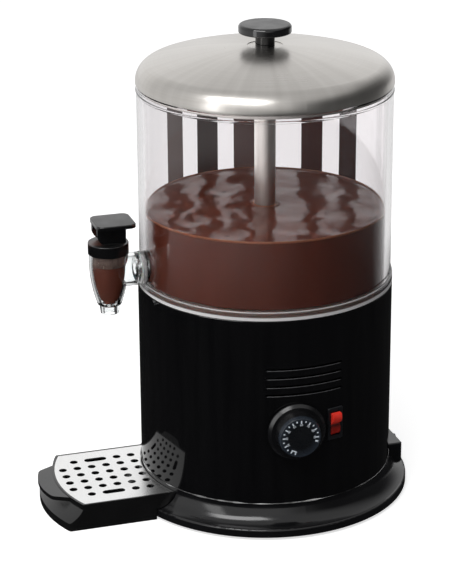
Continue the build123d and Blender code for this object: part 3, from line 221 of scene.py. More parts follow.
# Plain finishes: soft patches vary the colour and the roughness, and a grain, or the patches themselves, the height.
# Each row has the slot, the name, how patches are drawn out along x, y and z, the width and detail of patches and
# grain, two colours, the range of roughness, the strength and height of the bump, and the shader's other settings
for slot, name, drawn_out, patch, grain, colours, rough, bump, others in (
    # Black enamel sprayed and baked on sheet steel: a deep black mirror, trace of orange peel, faint upright streaks
    # of painted reflection
    ("housing_paint", "black_enamel_sprayed", (1, 1, 0.07), (9, 4), (2.4, 1), ("#040405", "#0d0d0e"),
     (0.03, 0.06), (0.05, 0.00004), {"IOR": 1.5}),
    # Gloss black ABS moulding: a polished tool with long soft ripples and hairline scuffs that blur its reflections
    ("base_black", "black_abs_gloss_moulded", None, (30, 4), (14, 2), ("#0a0a0b", "#121214"),
     (0.1, 0.2), (0.12, 0.00012), {"IOR": 1.53}),
    # Satin black ABS moulding of the controls: fine spark-eroded grain, drawn at 0.6 mm so that it shows
    ("control_black", "black_abs_satin_grained", None, (12, 3), (0.6, 2), ("#0b0c0e", "#131519"),
     (0.24, 0.36), (0.12, 0.00004), {"IOR": 1.53}),
    # Black ABS drip tray: gloss moulding that daily rinsing has dulled in soft patches
    ("tray_black", "black_abs_tray_rinsed", None, (22, 5), (1.1, 2), ("#090909", "#121213"),
     (0.1, 0.22), (0.08, 0.00003), {"IOR": 1.53}),
    # Drawn stainless tube: soft reflections with lines along its length, drawn 0.8 mm wide so that they show
    ("mixer_steel", "stainless_tube_drawn", (1, 1, 0.02), (0.8, 3), None, ("#c4c1bc", "#e6e3de"),
     (0.28, 0.42), (0.06, 0.00002), METAL),
    # Pressed stainless pan: bright sheet with heat-dulled patches
    ("pan_steel", "stainless_pan_pressed", None, (25, 4), None, ("#b0aca6", "#cbc8c3"),
     (0.25, 0.42), (0.1, 0.0001), METAL),
    # Drinking chocolate at the wall: opaque brown, wet gloss, in faint upright bands of painted reflection
    ("chocolate", "drinking_chocolate_at_wall", (1, 1, 0.03), (24, 2), None, ("#743b2c", "#8c4a39"),
     (0.2, 0.28), (0.04, 0.0003), {"IOR": 1.4, **COCOA}),
    # Moulded black rubber feet: dull, slightly dusty
    ("rubber_black", "black_rubber_moulded", None, (4, 5), None, ("#141414", "#262625"),
     (0.65, 0.85), (0.2, 0.0001), {"IOR": 1.52}),
    # Translucent silicone seals: milky, soft sheen
    ("silicone", "milky_silicone_moulded", None, (8, 3), None, ("#c9c7c2", "#dddbd6"),
     (0.4, 0.55), (0.1, 0.00005), {"IOR": 1.41, "Subsurface Weight": 0.4, "Subsurface Scale": 0.003}),
    # Bowl seal: the milky silicone, stained by the chocolate that it holds back
    ("stained_seal", "silicone_seal_cocoa_stained", None, (11, 3), None, ("#a3887e", "#b89e95"),
     (0.35, 0.5), (0.1, 0.00005), {"IOR": 1.41, "Subsurface Weight": 0.3, "Subsurface Scale": 0.003}),
    # Bright zinc plating on steel: cool metal, finely mottled
    ("plated_steel", "steel_zinc_plated", None, (3, 3), None, ("#b4b6ba", "#d0d2d5"),
     (0.2, 0.34), (0.1, 0.00003), METAL),
    # Die-cast zinc alloy: matt grey with a fine cast skin
    ("cast_grey", "zinc_alloy_die_cast", None, (2, 4), None, ("#9a9a9b", "#b3b3b4"),
     (0.45, 0.6), (0.15, 0.00005), METAL),
    # Oxidised sheath of the heating element: dark brown-grey metal, mottled by heat
    ("element_steel", "steel_sheath_oxidised", None, (10, 4), None, ("#6d645c", "#8c857d"),
     (0.4, 0.6), (0.1, 0.00005), METAL),
    # Drawn copper bulb: warm metal with darker tarnish
    ("copper_bulb", "copper_drawn_tarnished", None, (6, 4), None, ("#b9744f", "#dd9a78"),
     (0.25, 0.42), (0.08, 0.00003), METAL),
    # Natural acetal, food-safe polypropylene and ivory nylon mouldings: off-white, waxy
    ("bush_plastic", "natural_acetal_moulded", None, (6, 3), None, ("#d6d4cb", "#e4e2da"),
     (0.38, 0.5), (0.08, 0.00005), WAXY),
    ("paddle_plastic", "natural_polypropylene_moulded", None, (6, 3), None, ("#dedcd2", "#ebe9e0"),
     (0.38, 0.5), (0.08, 0.00005), WAXY),
    ("terminal_plastic", "ivory_nylon_moulded", None, (6, 3), None, ("#d8d4c4", "#e6e2d2"),
     (0.38, 0.5), (0.08, 0.00005), WAXY),
    # Vent edges: black enamel coloured grey as a painted highlight, so that they read as fine lines
    ("vent_edge_painted_highlight", "black_enamel_painted_highlight_at_edge", None, (5, 3), None, ("#343436", "#58585a"),
     (0.2, 0.35), None, {"IOR": 1.5}),
    # White print on the dial: thin pad-printed ink, a little uneven
    ("ink", "white_pad_print", None, (0.8, 2), None, ("#dbe6f2", "#f2f7fd"), (0.4, 0.55), None, {"IOR": 1.5}),
):
    finishes[slot], tree, where = finish(name)
    spread = add(tree, "ShaderNodeMapping", {"Vector": where, "Scale": drawn_out}) if drawn_out else where
    cloud = add(tree, "ShaderNodeTexNoise", {"Vector": spread, "Scale": per(patch[0]), "Detail": patch[1]})
    height = add(tree, "ShaderNodeTexNoise", {
        "Vector": where, "Scale": per(grain[0]), "Detail": grain[1]}) if grain else cloud
    skin = {"Base Color": add(tree, "ShaderNodeMix", {0: cloud, 6: linear(colours[0]), 7: linear(colours[1])},
                              data_type="RGBA"),
            "Roughness": add(tree, "ShaderNodeMapRange", {"Value": cloud, **NOISE_SPAN,
                                                          "To Min": rough[0], "To Max": rough[1]}), **others}
    if bump:
        skin["Normal"] = add(tree, "ShaderNodeBump", {"Strength": bump[0], "Distance": bump[1], "Height": height})
    add(tree, "ShaderNodeOutputMaterial", {"Surface": add(tree, "ShaderNodeBsdfPrincipled", skin)})

# Black phenolic moulding of knob, lever and collar: gloss sides, satin handled tops, dried chocolate by the pin
finishes["tap_black"], tree, where = finish("black_phenolic_moulded")
cloud = add(tree, "ShaderNodeTexNoise", {"Vector": where, "Scale": per(18), "Detail": 4})
grain = add(tree, "ShaderNodeTexNoise", {"Vector": where, "Scale": per(0.9), "Detail": 2})
handled = add(tree, "ShaderNodeSeparateXYZ", {0: add(tree, "ShaderNodeNewGeometry", out="True Normal")}, out="Z")
gloss = add(tree, "ShaderNodeMapRange", {"Value": cloud, **NOISE_SPAN, "To Min": 0.05, "To Max": 0.1})
satin = add(tree, "ShaderNodeMapRange", {"Value": cloud, **NOISE_SPAN, "To Min": 0.3, "To Max": 0.4})
spill_at = (0, (TAP_Y - SPILL_AHEAD) / 1000, (LEVER_PIN_Z - SPILL_DROP) / 1000)
spill_away = add(tree, "ShaderNodeVectorMath", {0: where, 1: spill_at}, operation="DISTANCE")
stain = add(tree, "ShaderNodeMapRange", {"Value": spill_away, "From Min": 0.012, "From Max": 0.006})
smear = add(tree, "ShaderNodeMath", {0: stain, 1: cloud}, operation="MULTIPLY")
black = add(tree, "ShaderNodeMix", {0: cloud, 6: linear("#060607"), 7: linear("#0e0e0f")}, data_type="RGBA")
add(tree, "ShaderNodeOutputMaterial", {"Surface": add(tree, "ShaderNodeBsdfPrincipled", {
    "Base Color": add(tree, "ShaderNodeMix", {0: smear, 6: black, 7: linear("#5a3429")}, data_type="RGBA"),
    "Roughness": add(tree, "ShaderNodeMix", {0: add(tree, "ShaderNodeMapRange", {
        "Value": handled, "From Min": 0.6, "From Max": 0.95}), 2: gloss, 3: satin}),
    "Normal": add(tree, "ShaderNodeBump", {"Strength": 0.06, "Distance": 0.00003, "Height": grain}),
    "IOR": 1.6})})

# Red polycarbonate rocker, glossy: its upper half painted lit, its lower half in painted shade, darkest below the
# middle
finishes["rocker_red"], tree, where = finish("red_polycarbonate_rocker")
cloud = add(tree, "ShaderNodeTexNoise", {"Vector": where, "Scale": per(5), "Detail": 3})
up = add(tree, "ShaderNodeSeparateXYZ", {0: where}, out="Z")
upper_half_painted_lit = add(tree, "ShaderNodeMapRange", {"Value": up, "From Min": (SWITCH_Z - 1.5) / 1000,
                                           "From Max": (SWITCH_Z + 0.5) / 1000})
shade_below_middle_painted = add(tree, "ShaderNodeMapRange", {"Value": up, "From Min": (SWITCH_Z - 2) / 1000,
                                        "From Max": (SWITCH_Z - 9) / 1000})
lower_red_painted_shade = add(tree, "ShaderNodeMix", {0: shade_below_middle_painted, 6: linear("#4a0b08"), 7: linear("#a8241c")}, data_type="RGBA")
upper_red_painted_lit = add(tree, "ShaderNodeMix", {0: cloud, 6: linear("#ea2f24"), 7: linear("#f5483a")}, data_type="RGBA")
add(tree, "ShaderNodeOutputMaterial", {"Surface": add(tree, "ShaderNodeBsdfPrincipled", {
    "Base Color": add(tree, "ShaderNodeMix", {0: upper_half_painted_lit, 6: lower_red_painted_shade, 7: upper_red_painted_lit}, data_type="RGBA"),
    "Roughness": add(tree, "ShaderNodeMapRange", {"Value": cloud, **NOISE_SPAN, "To Min": 0.14, "To Max": 0.26}),
    "Normal": add(tree, "ShaderNodeBump", {"Strength": 0.08, "Distance": 0.00005, "Height": cloud}),
    "IOR": 1.58, "Subsurface Weight": 0.25, "Subsurface Scale": 0.002,
    "Subsurface Radius": (1.0, 0.12, 0.08)})})

# Stainless lid, brushed in circles: soft warm reflections drawn out across the rings of fine grit lines, in faint rays
finishes["lid_steel"], tree, where = finish("stainless_brushed_in_circles")
flat = add(tree, "ShaderNodeVectorMath", {0: where, 1: (1, 1, 0)}, operation="MULTIPLY")
outward = add(tree, "ShaderNodeVectorMath", {0: flat}, operation="NORMALIZE")
radius = add(tree, "ShaderNodeVectorMath", {0: flat}, operation="LENGTH")
turn = add(tree, "ShaderNodeMath", {0: add(tree, "ShaderNodeSeparateXYZ", {0: where}, out="Y"),
                                    1: add(tree, "ShaderNodeSeparateXYZ", {0: where}, out="X")},
           operation="ARCTAN2")
# grit lines of about 0.1 mm are drawn 1.2 mm wide and about half a radian long, so that they show
ring_at = add(tree, "ShaderNodeCombineXYZ", {
    "X": radius, "Y": add(tree, "ShaderNodeMath", {0: turn, 1: 0.0022}, operation="MULTIPLY"),
    "Z": add(tree, "ShaderNodeSeparateXYZ", {0: where}, out="Z")})
grit = add(tree, "ShaderNodeTexNoise", {"Vector": ring_at, "Scale": per(1.2), "Detail": 0})
rays = add(tree, "ShaderNodeTexNoise", {"Vector": outward, "Scale": 11.0, "Detail": 2})
cloud = add(tree, "ShaderNodeTexNoise", {"Vector": where, "Scale": per(60), "Detail": 2})
brushed = add(tree, "ShaderNodeMix", {0: grit, 6: linear("#c2beb9"), 7: linear("#cac7c3")}, data_type="RGBA")
in_ray = add(tree, "ShaderNodeMapRange", {"Value": rays, **NOISE_SPAN, "To Max": 0.3})
add(tree, "ShaderNodeOutputMaterial", {"Surface": add(tree, "ShaderNodeBsdfPrincipled", {
    "Base Color": add(tree, "ShaderNodeMix", {0: in_ray, 6: brushed, 7: linear("#a8a49f")}, data_type="RGBA"),
    "Roughness": add(tree, "ShaderNodeMath", {
        0: add(tree, "ShaderNodeMapRange", {"Value": cloud, **NOISE_SPAN, "To Min": 0.28, "To Max": 0.34}),
        1: add(tree, "ShaderNodeMapRange", {"Value": grit, "To Min": -0.02, "To Max": 0.02})}),
    "Tangent": outward, "Metallic": 1.0, "Anisotropic": 0.4})})

# Stainless sheet grille, brushed one way: bright, with straight fine lines across the tray, drawn 0.6 mm wide
finishes["grille_steel"], tree, where = finish("stainless_sheet_brushed")
stretched = add(tree, "ShaderNodeMapping", {"Vector": where, "Scale": (0.03, 1, 1)})
grit = add(tree, "ShaderNodeTexNoise", {"Vector": stretched, "Scale": per(0.6), "Detail": 3})
cloud = add(tree, "ShaderNodeTexNoise", {"Vector": where, "Scale": per(40), "Detail": 2})
add(tree, "ShaderNodeOutputMaterial", {"Surface": add(tree, "ShaderNodeBsdfPrincipled", {
    "Base Color": add(tree, "ShaderNodeMix", {0: grit, 6: linear("#dedede"), 7: linear("#f0f0ef")},
                      data_type="RGBA"),
    "Roughness": add(tree, "ShaderNodeMapRange", {"Value": cloud, **NOISE_SPAN, "To Min": 0.2, "To Max": 0.3}),
    "Normal": add(tree, "ShaderNodeBump", {"Strength": 0.05, "Distance": 0.00002, "Height": grit}),
    "Metallic": 1.0})})

# Clear polycarbonate bowl: water-clear wall, faint wash marks down it; foot ring edges and outlet boss made milky as a
# painted highlight
finishes["clear_bowl"], tree, where = finish("clear_polycarbonate_bowl")
streaked = add(tree, "ShaderNodeMapping", {"Vector": where, "Scale": (1, 1, 0.06)})
wash = add(tree, "ShaderNodeTexNoise", {"Vector": streaked, "Scale": per(9), "Detail": 3})
reach = add(tree, "ShaderNodeVectorMath", {0: add(tree, "ShaderNodeVectorMath", {0: where, 1: (1, 1, 0)},
                                                  operation="MULTIPLY")}, operation="LENGTH")
up = add(tree, "ShaderNodeSeparateXYZ", {0: where}, out="Z")
foot_top = BOWL_LOW + BOWL_FOOT
# Painted highlight: bands at the foot ring's lower and upper edges, and the boss, turn milky and pale
at_edge = add(tree, "ShaderNodeMath", {
    0: add(tree, "ShaderNodeMapRange", {"Value": up, "From Min": (BOWL_LOW + 3.6) / 1000,
                                        "From Max": (BOWL_LOW + 2.4) / 1000}),
    1: add(tree, "ShaderNodeMapRange", {"Value": up, "From Min": (foot_top - 1.5) / 1000,
                                        "From Max": (foot_top - 0.5) / 1000, "To Max": 0.5})},
    operation="MAXIMUM")
on_foot = add(tree, "ShaderNodeMapRange", {"Value": reach, "From Min": (BOWL_R + 0.4) / 1000,
                                           "From Max": (BOWL_R + 1.2) / 1000})
low = add(tree, "ShaderNodeMath", {0: up, 1: (foot_top + 0.5) / 1000}, operation="LESS_THAN")
foot_painted_highlight = add(tree, "ShaderNodeMath", {0: at_edge, 1: add(
    tree, "ShaderNodeMath", {0: on_foot, 1: low}, operation="MULTIPLY")}, operation="MULTIPLY")
on_boss = add(tree, "ShaderNodeMapRange", {"Value": add(tree, "ShaderNodeSeparateXYZ", {0: where}, out="Y"),
                                           "From Min": -(BOWL_R + 0.2) / 1000, "From Max": -(BOWL_R + 1) / 1000,
                                           "To Max": 0.35})
bowl_painted_highlight = add(tree, "ShaderNodeMath", {0: foot_painted_highlight, 1: on_boss}, operation="MAXIMUM")
add(tree, "ShaderNodeOutputMaterial", {"Surface": add(tree, "ShaderNodeBsdfPrincipled", {
    "Base Color": linear("#f3f1f2"),
    "Roughness": add(tree, "ShaderNodeMath", {
        0: add(tree, "ShaderNodeMapRange", {"Value": wash, "From Min": 0.45, "From Max": 0.8,
                                            "To Min": 0.0, "To Max": 0.03}),
        1: add(tree, "ShaderNodeMath", {0: bowl_painted_highlight, 1: 0.4}, operation="MULTIPLY")}),
    "Normal": add(tree, "ShaderNodeBump", {"Strength": 0.04, "Distance": 0.00005, "Height": wash}),
    "Transmission Weight": add(tree, "ShaderNodeMapRange", {"Value": bowl_painted_highlight, "To Min": 1.0, "To Max": 0.25}),
    "IOR": 1.5})})

# Clear polycarbonate tap: thick moulded walls with slight flow ripples
finishes["clear_tap"], tree, where = finish("clear_polycarbonate_tap")
flow = add(tree, "ShaderNodeTexNoise", {"Vector": where, "Scale": per(7), "Detail": 2})
add(tree, "ShaderNodeOutputMaterial", {"Surface": add(tree, "ShaderNodeBsdfPrincipled", {
    "Base Color": linear("#f8fafa"),
    "Roughness": add(tree, "ShaderNodeMapRange", {"Value": flow, "From Min": 0.4, "From Max": 0.8,
                                                  "To Min": 0.0, "To Max": 0.04}),
    "Normal": add(tree, "ShaderNodeBump", {"Strength": 0.06, "Distance": 0.00008, "Height": flow}),
    "IOR": 1.5, "Transmission Weight": 1.0})})

# Galvanised sheet: grey spangle in irregular crystals about 9 mm across
finishes["plate_zinc"], tree, where = finish("sheet_steel_galvanised")
shade = add(tree, "ShaderNodeSeparateColor", {0: add(
    tree, "ShaderNodeTexVoronoi", {"Vector": where, "Scale": per(9)}, out="Color")})
add(tree, "ShaderNodeOutputMaterial", {"Surface": add(tree, "ShaderNodeBsdfPrincipled", {
    "Base Color": add(tree, "ShaderNodeMix", {0: shade, 6: linear("#8d9194"), 7: linear("#abafb2")},
                      data_type="RGBA"),
    "Roughness": add(tree, "ShaderNodeMapRange", {"Value": shade, "To Min": 0.35, "To Max": 0.55}),
    "Normal": add(tree, "ShaderNodeBump", {"Strength": 0.05, "Distance": 0.00002, "Height": shade}),
    "Metallic": 1.0})})

# Dial: satin black skirt and a disc that carries the print, lightened to blue-grey towards its rim by a painted sheen
dial_skin, tree, where = finish("black_abs_dial_disc_painted_sheen")
grain = add(tree, "ShaderNodeTexNoise", {"Vector": where, "Scale": per(0.6), "Detail": 2})
cloud = add(tree, "ShaderNodeTexNoise", {"Vector": where, "Scale": per(12), "Detail": 3})
face_turn = radians(DIAL_ANGLE)
face_middle = Vector((DIAL_FACE * cos(face_turn), DIAL_FACE * sin(face_turn), DIAL_Z)) / 1000
off_axis = add(tree, "ShaderNodeVectorMath", {0: where, 1: face_middle}, operation="DISTANCE")
disc = add(tree, "ShaderNodeMapRange", {"Value": off_axis, "From Min": 0.0212, "From Max": 0.0205})
rim_painted_sheen = add(tree, "ShaderNodeMapRange", {"Value": off_axis, "From Min": 0.0115, "From Max": 0.019})
disc_and_painted_sheen = add(tree, "ShaderNodeMix", {0: rim_painted_sheen, 6: linear("#0d0f12"), 7: linear("#262c34")}, data_type="RGBA")
add(tree, "ShaderNodeOutputMaterial", {"Surface": add(tree, "ShaderNodeBsdfPrincipled", {
    "Base Color": add(tree, "ShaderNodeMix", {0: disc, 6: linear("#0c0c0e"), 7: disc_and_painted_sheen}, data_type="RGBA"),
    "Roughness": add(tree, "ShaderNodeMapRange", {"Value": cloud, **NOISE_SPAN, "To Min": 0.2, "To Max": 0.32}),
    "Normal": add(tree, "ShaderNodeBump", {"Strength": 0.1, "Distance": 0.00004, "Height": grain}),
    "IOR": 1.53})})

special = {"bowl_seal": finishes["stained_seal"], "stem_plug": finishes["chocolate"],
           "outlet_nut": finishes["chocolate"], "lever_pin": finishes["tap_black"], "dial_knob": dial_skin}
for node_name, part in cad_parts.items():
    for place in part.material_slots:
        place.material = special.get(node_name, finishes[place.material.name])

# Stirred chocolate: soft lumps under a wet skin; thin at the wall and the sleeve, painted pale orange there, partly
# film colour, partly highlight
stirred, tree, where = finish("drinking_chocolate_stirred")
swirl = add(tree, "ShaderNodeTexNoise", {"Vector": where, "Scale": per(26), "Detail": 3, "Distortion": 0.6})
froth = add(tree, "ShaderNodeTexNoise", {"Vector": where, "Scale": per(7), "Detail": 2})
reach = add(tree, "ShaderNodeVectorMath", {0: add(tree, "ShaderNodeVectorMath", {0: where, 1: (1, 1, 0)},
                                                  operation="MULTIPLY")}, operation="LENGTH")
at_wall = add(tree, "ShaderNodeMapRange", {"Value": reach, "From Min": (LIQUID_EDGE_R - 1.1) / 1000,
                                           "From Max": (LIQUID_EDGE_R - 0.4) / 1000})
at_sleeve = add(tree, "ShaderNodeMapRange", {"Value": reach, "From Min": (SLEEVE_R + 3.5) / 1000,
                                             "From Max": (SLEEVE_R + 0.8) / 1000})
thin_lip_painted_highlight = add(tree, "ShaderNodeMath", {0: at_wall, 1: at_sleeve}, operation="MAXIMUM")
brown = add(tree, "ShaderNodeMix", {0: swirl, 6: linear("#965140"), 7: linear("#aa624d")}, data_type="RGBA")
add(tree, "ShaderNodeOutputMaterial", {"Surface": add(tree, "ShaderNodeBsdfPrincipled", {
    "Base Color": add(tree, "ShaderNodeMix", {0: thin_lip_painted_highlight, 6: brown, 7: linear("#d98e6c")}, data_type="RGBA"),
    "Roughness": add(tree, "ShaderNodeMapRange", {"Value": froth, **NOISE_SPAN, "To Min": 0.1, "To Max": 0.17}),
    "Normal": add(tree, "ShaderNodeBump", {"Strength": 0.05, "Distance": 0.0003, "Height": froth}),
    "IOR": 1.42, **COCOA})})

# Thin film of chocolate that runs back down the cup's wall: pale brown haze in drips about 4 mm apart
film_skin, tree, where = finish("chocolate_film_on_cup")
runs = add(tree, "ShaderNodeMapping", {"Vector": where, "Scale": (1, 1, 0.3)})
drips = add(tree, "ShaderNodeTexNoise", {"Vector": runs, "Scale": per(4), "Detail": 3})
add(tree, "ShaderNodeOutputMaterial", {"Surface": add(tree, "ShaderNodeBsdfPrincipled", {
    "Base Color": add(tree, "ShaderNodeMix", {0: drips, 6: linear("#94766b"), 7: linear("#ad9389")},
                      data_type="RGBA"),
    "Alpha": add(tree, "ShaderNodeMapRange", {"Value": drips, **NOISE_SPAN, "To Min": 0.5, "To Max": 0.85}),
    "IOR": 1.4, "Roughness": 0.3})})

# Clear silicone sealant of the seam: glossy, coloured pale as a painted highlight that breaks into dark patches by
# turns
bead_painted_highlight_skin, tree, where = finish("clear_silicone_sealant_painted_highlight")
cloud = add(tree, "ShaderNodeTexNoise", {"Vector": where, "Scale": per(26), "Detail": 3})
highlight_patches_painted = add(tree, "ShaderNodeMapRange", {"Value": cloud, "From Min": 0.42, "From Max": 0.62})
add(tree, "ShaderNodeOutputMaterial", {"Surface": add(tree, "ShaderNodeBsdfPrincipled", {
    "Base Color": add(tree, "ShaderNodeMix", {0: highlight_patches_painted, 6: linear("#2a2a2a"), 7: linear("#eeeeee")},
                      data_type="RGBA"),
    "Roughness": add(tree, "ShaderNodeMapRange", {"Value": cloud, **NOISE_SPAN, "To Min": 0.05, "To Max": 0.2}),
    "IOR": 1.41, "Transmission Weight": 0.4})})


def placed(name, mesh, material=None):
    """An object of a bmesh, in place at the origin."""
    data = bpy.data.meshes.new(name)
    mesh.to_mesh(data)
    mesh.free()
    if material:
        data.materials.append(material)
    made = bpy.data.objects.new(name, data)
    scene.collection.objects.link(made)
    return made


def piece(name, mesh, material, body):
    """A piece of the dispenser, riding on a body."""
    made = placed(name, mesh, material)
    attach(made, body)
    return made


def arc(centre, size, start, end, steps):
    """Points of a round in a turned profile: centre and half sizes in millimetres, start and end in degrees."""
    turns = [radians(start + (end - start) * i / steps) for i in range(steps + 1)]
    return [(centre[0] + size[0] * cos(turn), centre[1] + size[1] * sin(turn)) for turn in turns]


def spun(profile, steps):
    """A bmesh turned about the upright axis from a closed line of (radius, height) points in millimetres."""
    mesh = bmesh.new()
    line = [mesh.verts.new((r / 1000, 0, z / 1000)) for r, z in profile]
    for start, end in zip(line, line[1:] + line[:1]):
        mesh.edges.new((start, end))
    bmesh.ops.spin(mesh, geom=mesh.verts[:] + mesh.edges[:], cent=(0, 0, 0), axis=(0, 0, 1),
                   angle=2 * pi, steps=steps, use_merge=True)
    bmesh.ops.recalc_face_normals(mesh, faces=mesh.faces[:])
    for face in mesh.faces:
        face.smooth = True
    return mesh


def merged(node_name):
    """A bmesh copy of a CAD node, with its triangles joined."""
    mesh = bmesh.new()
    mesh.from_mesh(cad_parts[node_name].data)
    bmesh.ops.remove_doubles(mesh, verts=mesh.verts[:], dist=JOIN)
    return mesh


def creased(mesh, limit=CREASE):
    """The bmesh with smooth faces, and sharp edges where they meet at limit degrees or more."""
    for face in mesh.faces:
        face.smooth = True
    for edge in mesh.edges:
        edge.smooth = edge.calc_face_angle(0) < radians(limit)
    return mesh


# Bowl: the turned wall with its foot ring and a bead under the lid, an outlet boss and inner pad joined on, and the
# outlet bored through
wall = placed("blank", spun([
    (BOWL_IN, BOWL_LOW), (HOUSING_R, BOWL_LOW),
    *arc((HOUSING_R - FOOT_ROUND, foot_top - FOOT_ROUND), (FOOT_ROUND, FOOT_ROUND), 0, 90, 6), (BOWL_R, foot_top),
    *arc((BOWL_R, BEAD_Z), (BEAD_OUT, BEAD_HALF), -90, 90, 8), (BOWL_R, BOWL_TOP - BOWL_EDGE),
    (BOWL_R - BOWL_EDGE, BOWL_TOP), (BOWL_IN, BOWL_TOP)], 256))
working = [wall]
for size, near, far, way in ((BOSS_R, WALL_MIDDLE, BOSS_FACE, "UNION"), (PAD_R, PAD_FACE, WALL_MIDDLE, "UNION"),
                             (OUTLET_R, *OUTLET_REACH, "DIFFERENCE")):
    plug = bmesh.new()
    bmesh.ops.create_cone(plug, cap_ends=True, segments=96, radius1=size / 1000, radius2=size / 1000,
                          depth=(far - near) / 1000,
                          matrix=Matrix.Translation((0, -(near + far) / 2000, OUTLET_Z / 1000))
                          @ Matrix.Rotation(radians(90), 4, "X"))
    working.append(placed("blank", plug))
    cut = wall.modifiers.new("outlet", "BOOLEAN")
    cut.operation = way
    cut.solver = "EXACT"
    cut.object = working[-1]
bpy.context.view_layer.update()
bowl_mesh = bmesh.new()
bowl_mesh.from_object(wall, bpy.context.evaluated_depsgraph_get())
for made in working:
    data = made.data
    bpy.data.objects.remove(made)
    bpy.data.meshes.remove(data)
bowl = piece("bowl_turned", creased(bowl_mesh), finishes["clear_bowl"], "base")
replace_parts(bowl, "bowl")

# Top of the stirred chocolate: low lumps, and a thin lip where it wets the wall and the sleeve
inner = SLEEVE_R + SLEEVE_GAP
rings = [inner + (LIQUID_EDGE_R - inner) * i / 90 for i in range(91)]
top = [(r, LIQUID_TOP + LIP_RISE * (exp(-(LIQUID_EDGE_R - r) / LIP_WALL) + exp(-(r - inner) / LIP_SLEEVE)))
       for r in rings]
surface = spun([(inner, LIQUID_ROOT), *top, (LIQUID_EDGE_R, LIQUID_ROOT)], 200)
for vert in surface.verts:
    reach = vert.co.xy.length * 1000
    if vert.co.z > LIQUID_Z / 1000:
        calm = min(1, max(0, (LIQUID_EDGE_R - reach) / CALM_WALL)) * min(1, max(0, (reach - inner) / CALM_SLEEVE))
        small = noise.noise(vert.co * per(LUMP_SMALL) + Vector((7, 3, 0)))
        vert.co.z += LUMP_RISE / 1000 * calm * (noise.noise(vert.co * per(LUMP)) + SMALL_SHARE * small)
piece("chocolate_top", surface, stirred, "base")

# Film inside the cup above the chocolate
film_up = (CUP_LEVEL - 0.5, CUP_LEVEL + 5, CUP_TOP - 0.4)
film = spun([*zip(FILM_OUT, film_up), *zip(FILM_IN[::-1], film_up[::-1])], 64)
bmesh.ops.translate(film, verts=film.verts[:], vec=(0, TAP_Y / 1000, 0))
piece("cup_film", film, film_skin, "base")

# Tap bonnet: the turned collar with a crisp shoulder, bored for the cup's neck and the stem
guide_top = BONNET_TOP + GUIDE_H
collar = spun([
    (NECK_BORE, BONNET_LOW), (BONNET_R - BONNET_EDGE, BONNET_LOW), (BONNET_R, BONNET_LOW + BONNET_EDGE),
    (BONNET_R, BONNET_TOP - SHOULDER_RING),
    *arc((BONNET_R - SHOULDER, BONNET_TOP - SHOULDER), (SHOULDER, SHOULDER), 0, 90, 4),
    (BONNET_R - SHOULDER_RING, BONNET_TOP), (GUIDE_R, BONNET_TOP), (GUIDE_R, guide_top - BONNET_EDGE),
    (GUIDE_R - BONNET_EDGE, guide_top), (STEM_BORE, guide_top), (STEM_BORE, BONNET_ROOF),
    (NECK_BORE, BONNET_ROOF)], 96)
bmesh.ops.translate(collar, verts=collar.verts[:], vec=(0, TAP_Y / 1000, 0))
creased(collar)
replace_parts(piece("bonnet_turned", collar, finishes["tap_black"], "base"), "tap_bonnet")

# Tap lever: the moulding with the plate's corners drawn out to a smaller radius and the cheeks' rear edges upright
lever_mesh = merged("tap_lever")
straight = PLATE_HALF - PLATE_CORNER
sharper = PLATE_CORNER - CORNER_R
for vert in lever_mesh.verts:
    across, along, up = vert.co.x * 1000, vert.co.y * 1000 - TAP_Y, vert.co.z * 1000 - LEVER_PIN_Z
    corner = Vector((abs(across) - straight, abs(along - PLATE_BACK) - straight))
    on_cheek = min(abs(abs(across) - cheek) for cheek in CHEEK_FACES) < 0.01
    if up > PLATE_RISE - 0.01 and not on_cheek and min(corner) > 0 and corner.length > CORNER_SIDE:
        corner = Vector((sharper, sharper)) + corner.normalized() * (corner.length - sharper)
        vert.co.x = (straight + corner.x) / 1000 * (1 if across > 0 else -1)
        vert.co.y = (TAP_Y + PLATE_BACK + (straight + corner.y) * (1 if along > PLATE_BACK else -1)) / 1000
    elif up < PLATE_RISE - 0.01 and along > PLATE_BACK:
        risen = (up + CHEEK_DROP) / (PLATE_RISE + CHEEK_DROP)
        rear = CHEEK_REAR_LOW + (CHEEK_REAR_TOP - CHEEK_REAR_LOW) * risen
        vert.co.y = (TAP_Y + along * CHEEK_UPRIGHT / rear) / 1000
creased(lever_mesh)
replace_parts(piece("lever_squared", lever_mesh, finishes["tap_black"], "lever"), "tap_lever")

# Return spring of the tap: the coil
spring_mesh = creased(merged("tap_spring"), 50)
spring = piece("spring_coiled", spring_mesh, finishes["plated_steel"], "base")
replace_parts(spring, "tap_spring")
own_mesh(spring)

# Rolled lower edge of each vent slit, in the grey of a painted highlight
lips = bmesh.new()
sweep = 2 * asin(VENT_HALF / HOUSING_R)
for low in VENT_LOW:
    ring = bmesh.ops.create_circle(lips, segments=10, radius=VENT_LIP_R / 1000,
                                   matrix=Matrix.Rotation(-sweep / 2, 4, "Z")
                                   @ Matrix.Translation(((HOUSING_R - VENT_LIP_IN) / 1000, 0, low / 1000))
                                   @ Matrix.Rotation(radians(90), 4, "X"))["verts"]
    bmesh.ops.spin(lips, geom=ring + list({edge for vert in ring for edge in vert.link_edges}), cent=(0, 0, 0),
                   axis=(0, 0, 1), angle=sweep, steps=24)
bmesh.ops.holes_fill(lips, edges=lips.edges[:])
bmesh.ops.recalc_face_normals(lips, faces=lips.faces[:])
for face in lips.faces:
    face.smooth = len(face.verts) == 4
piece("vent_lips", lips, finishes["vent_edge_painted_highlight"], "base")

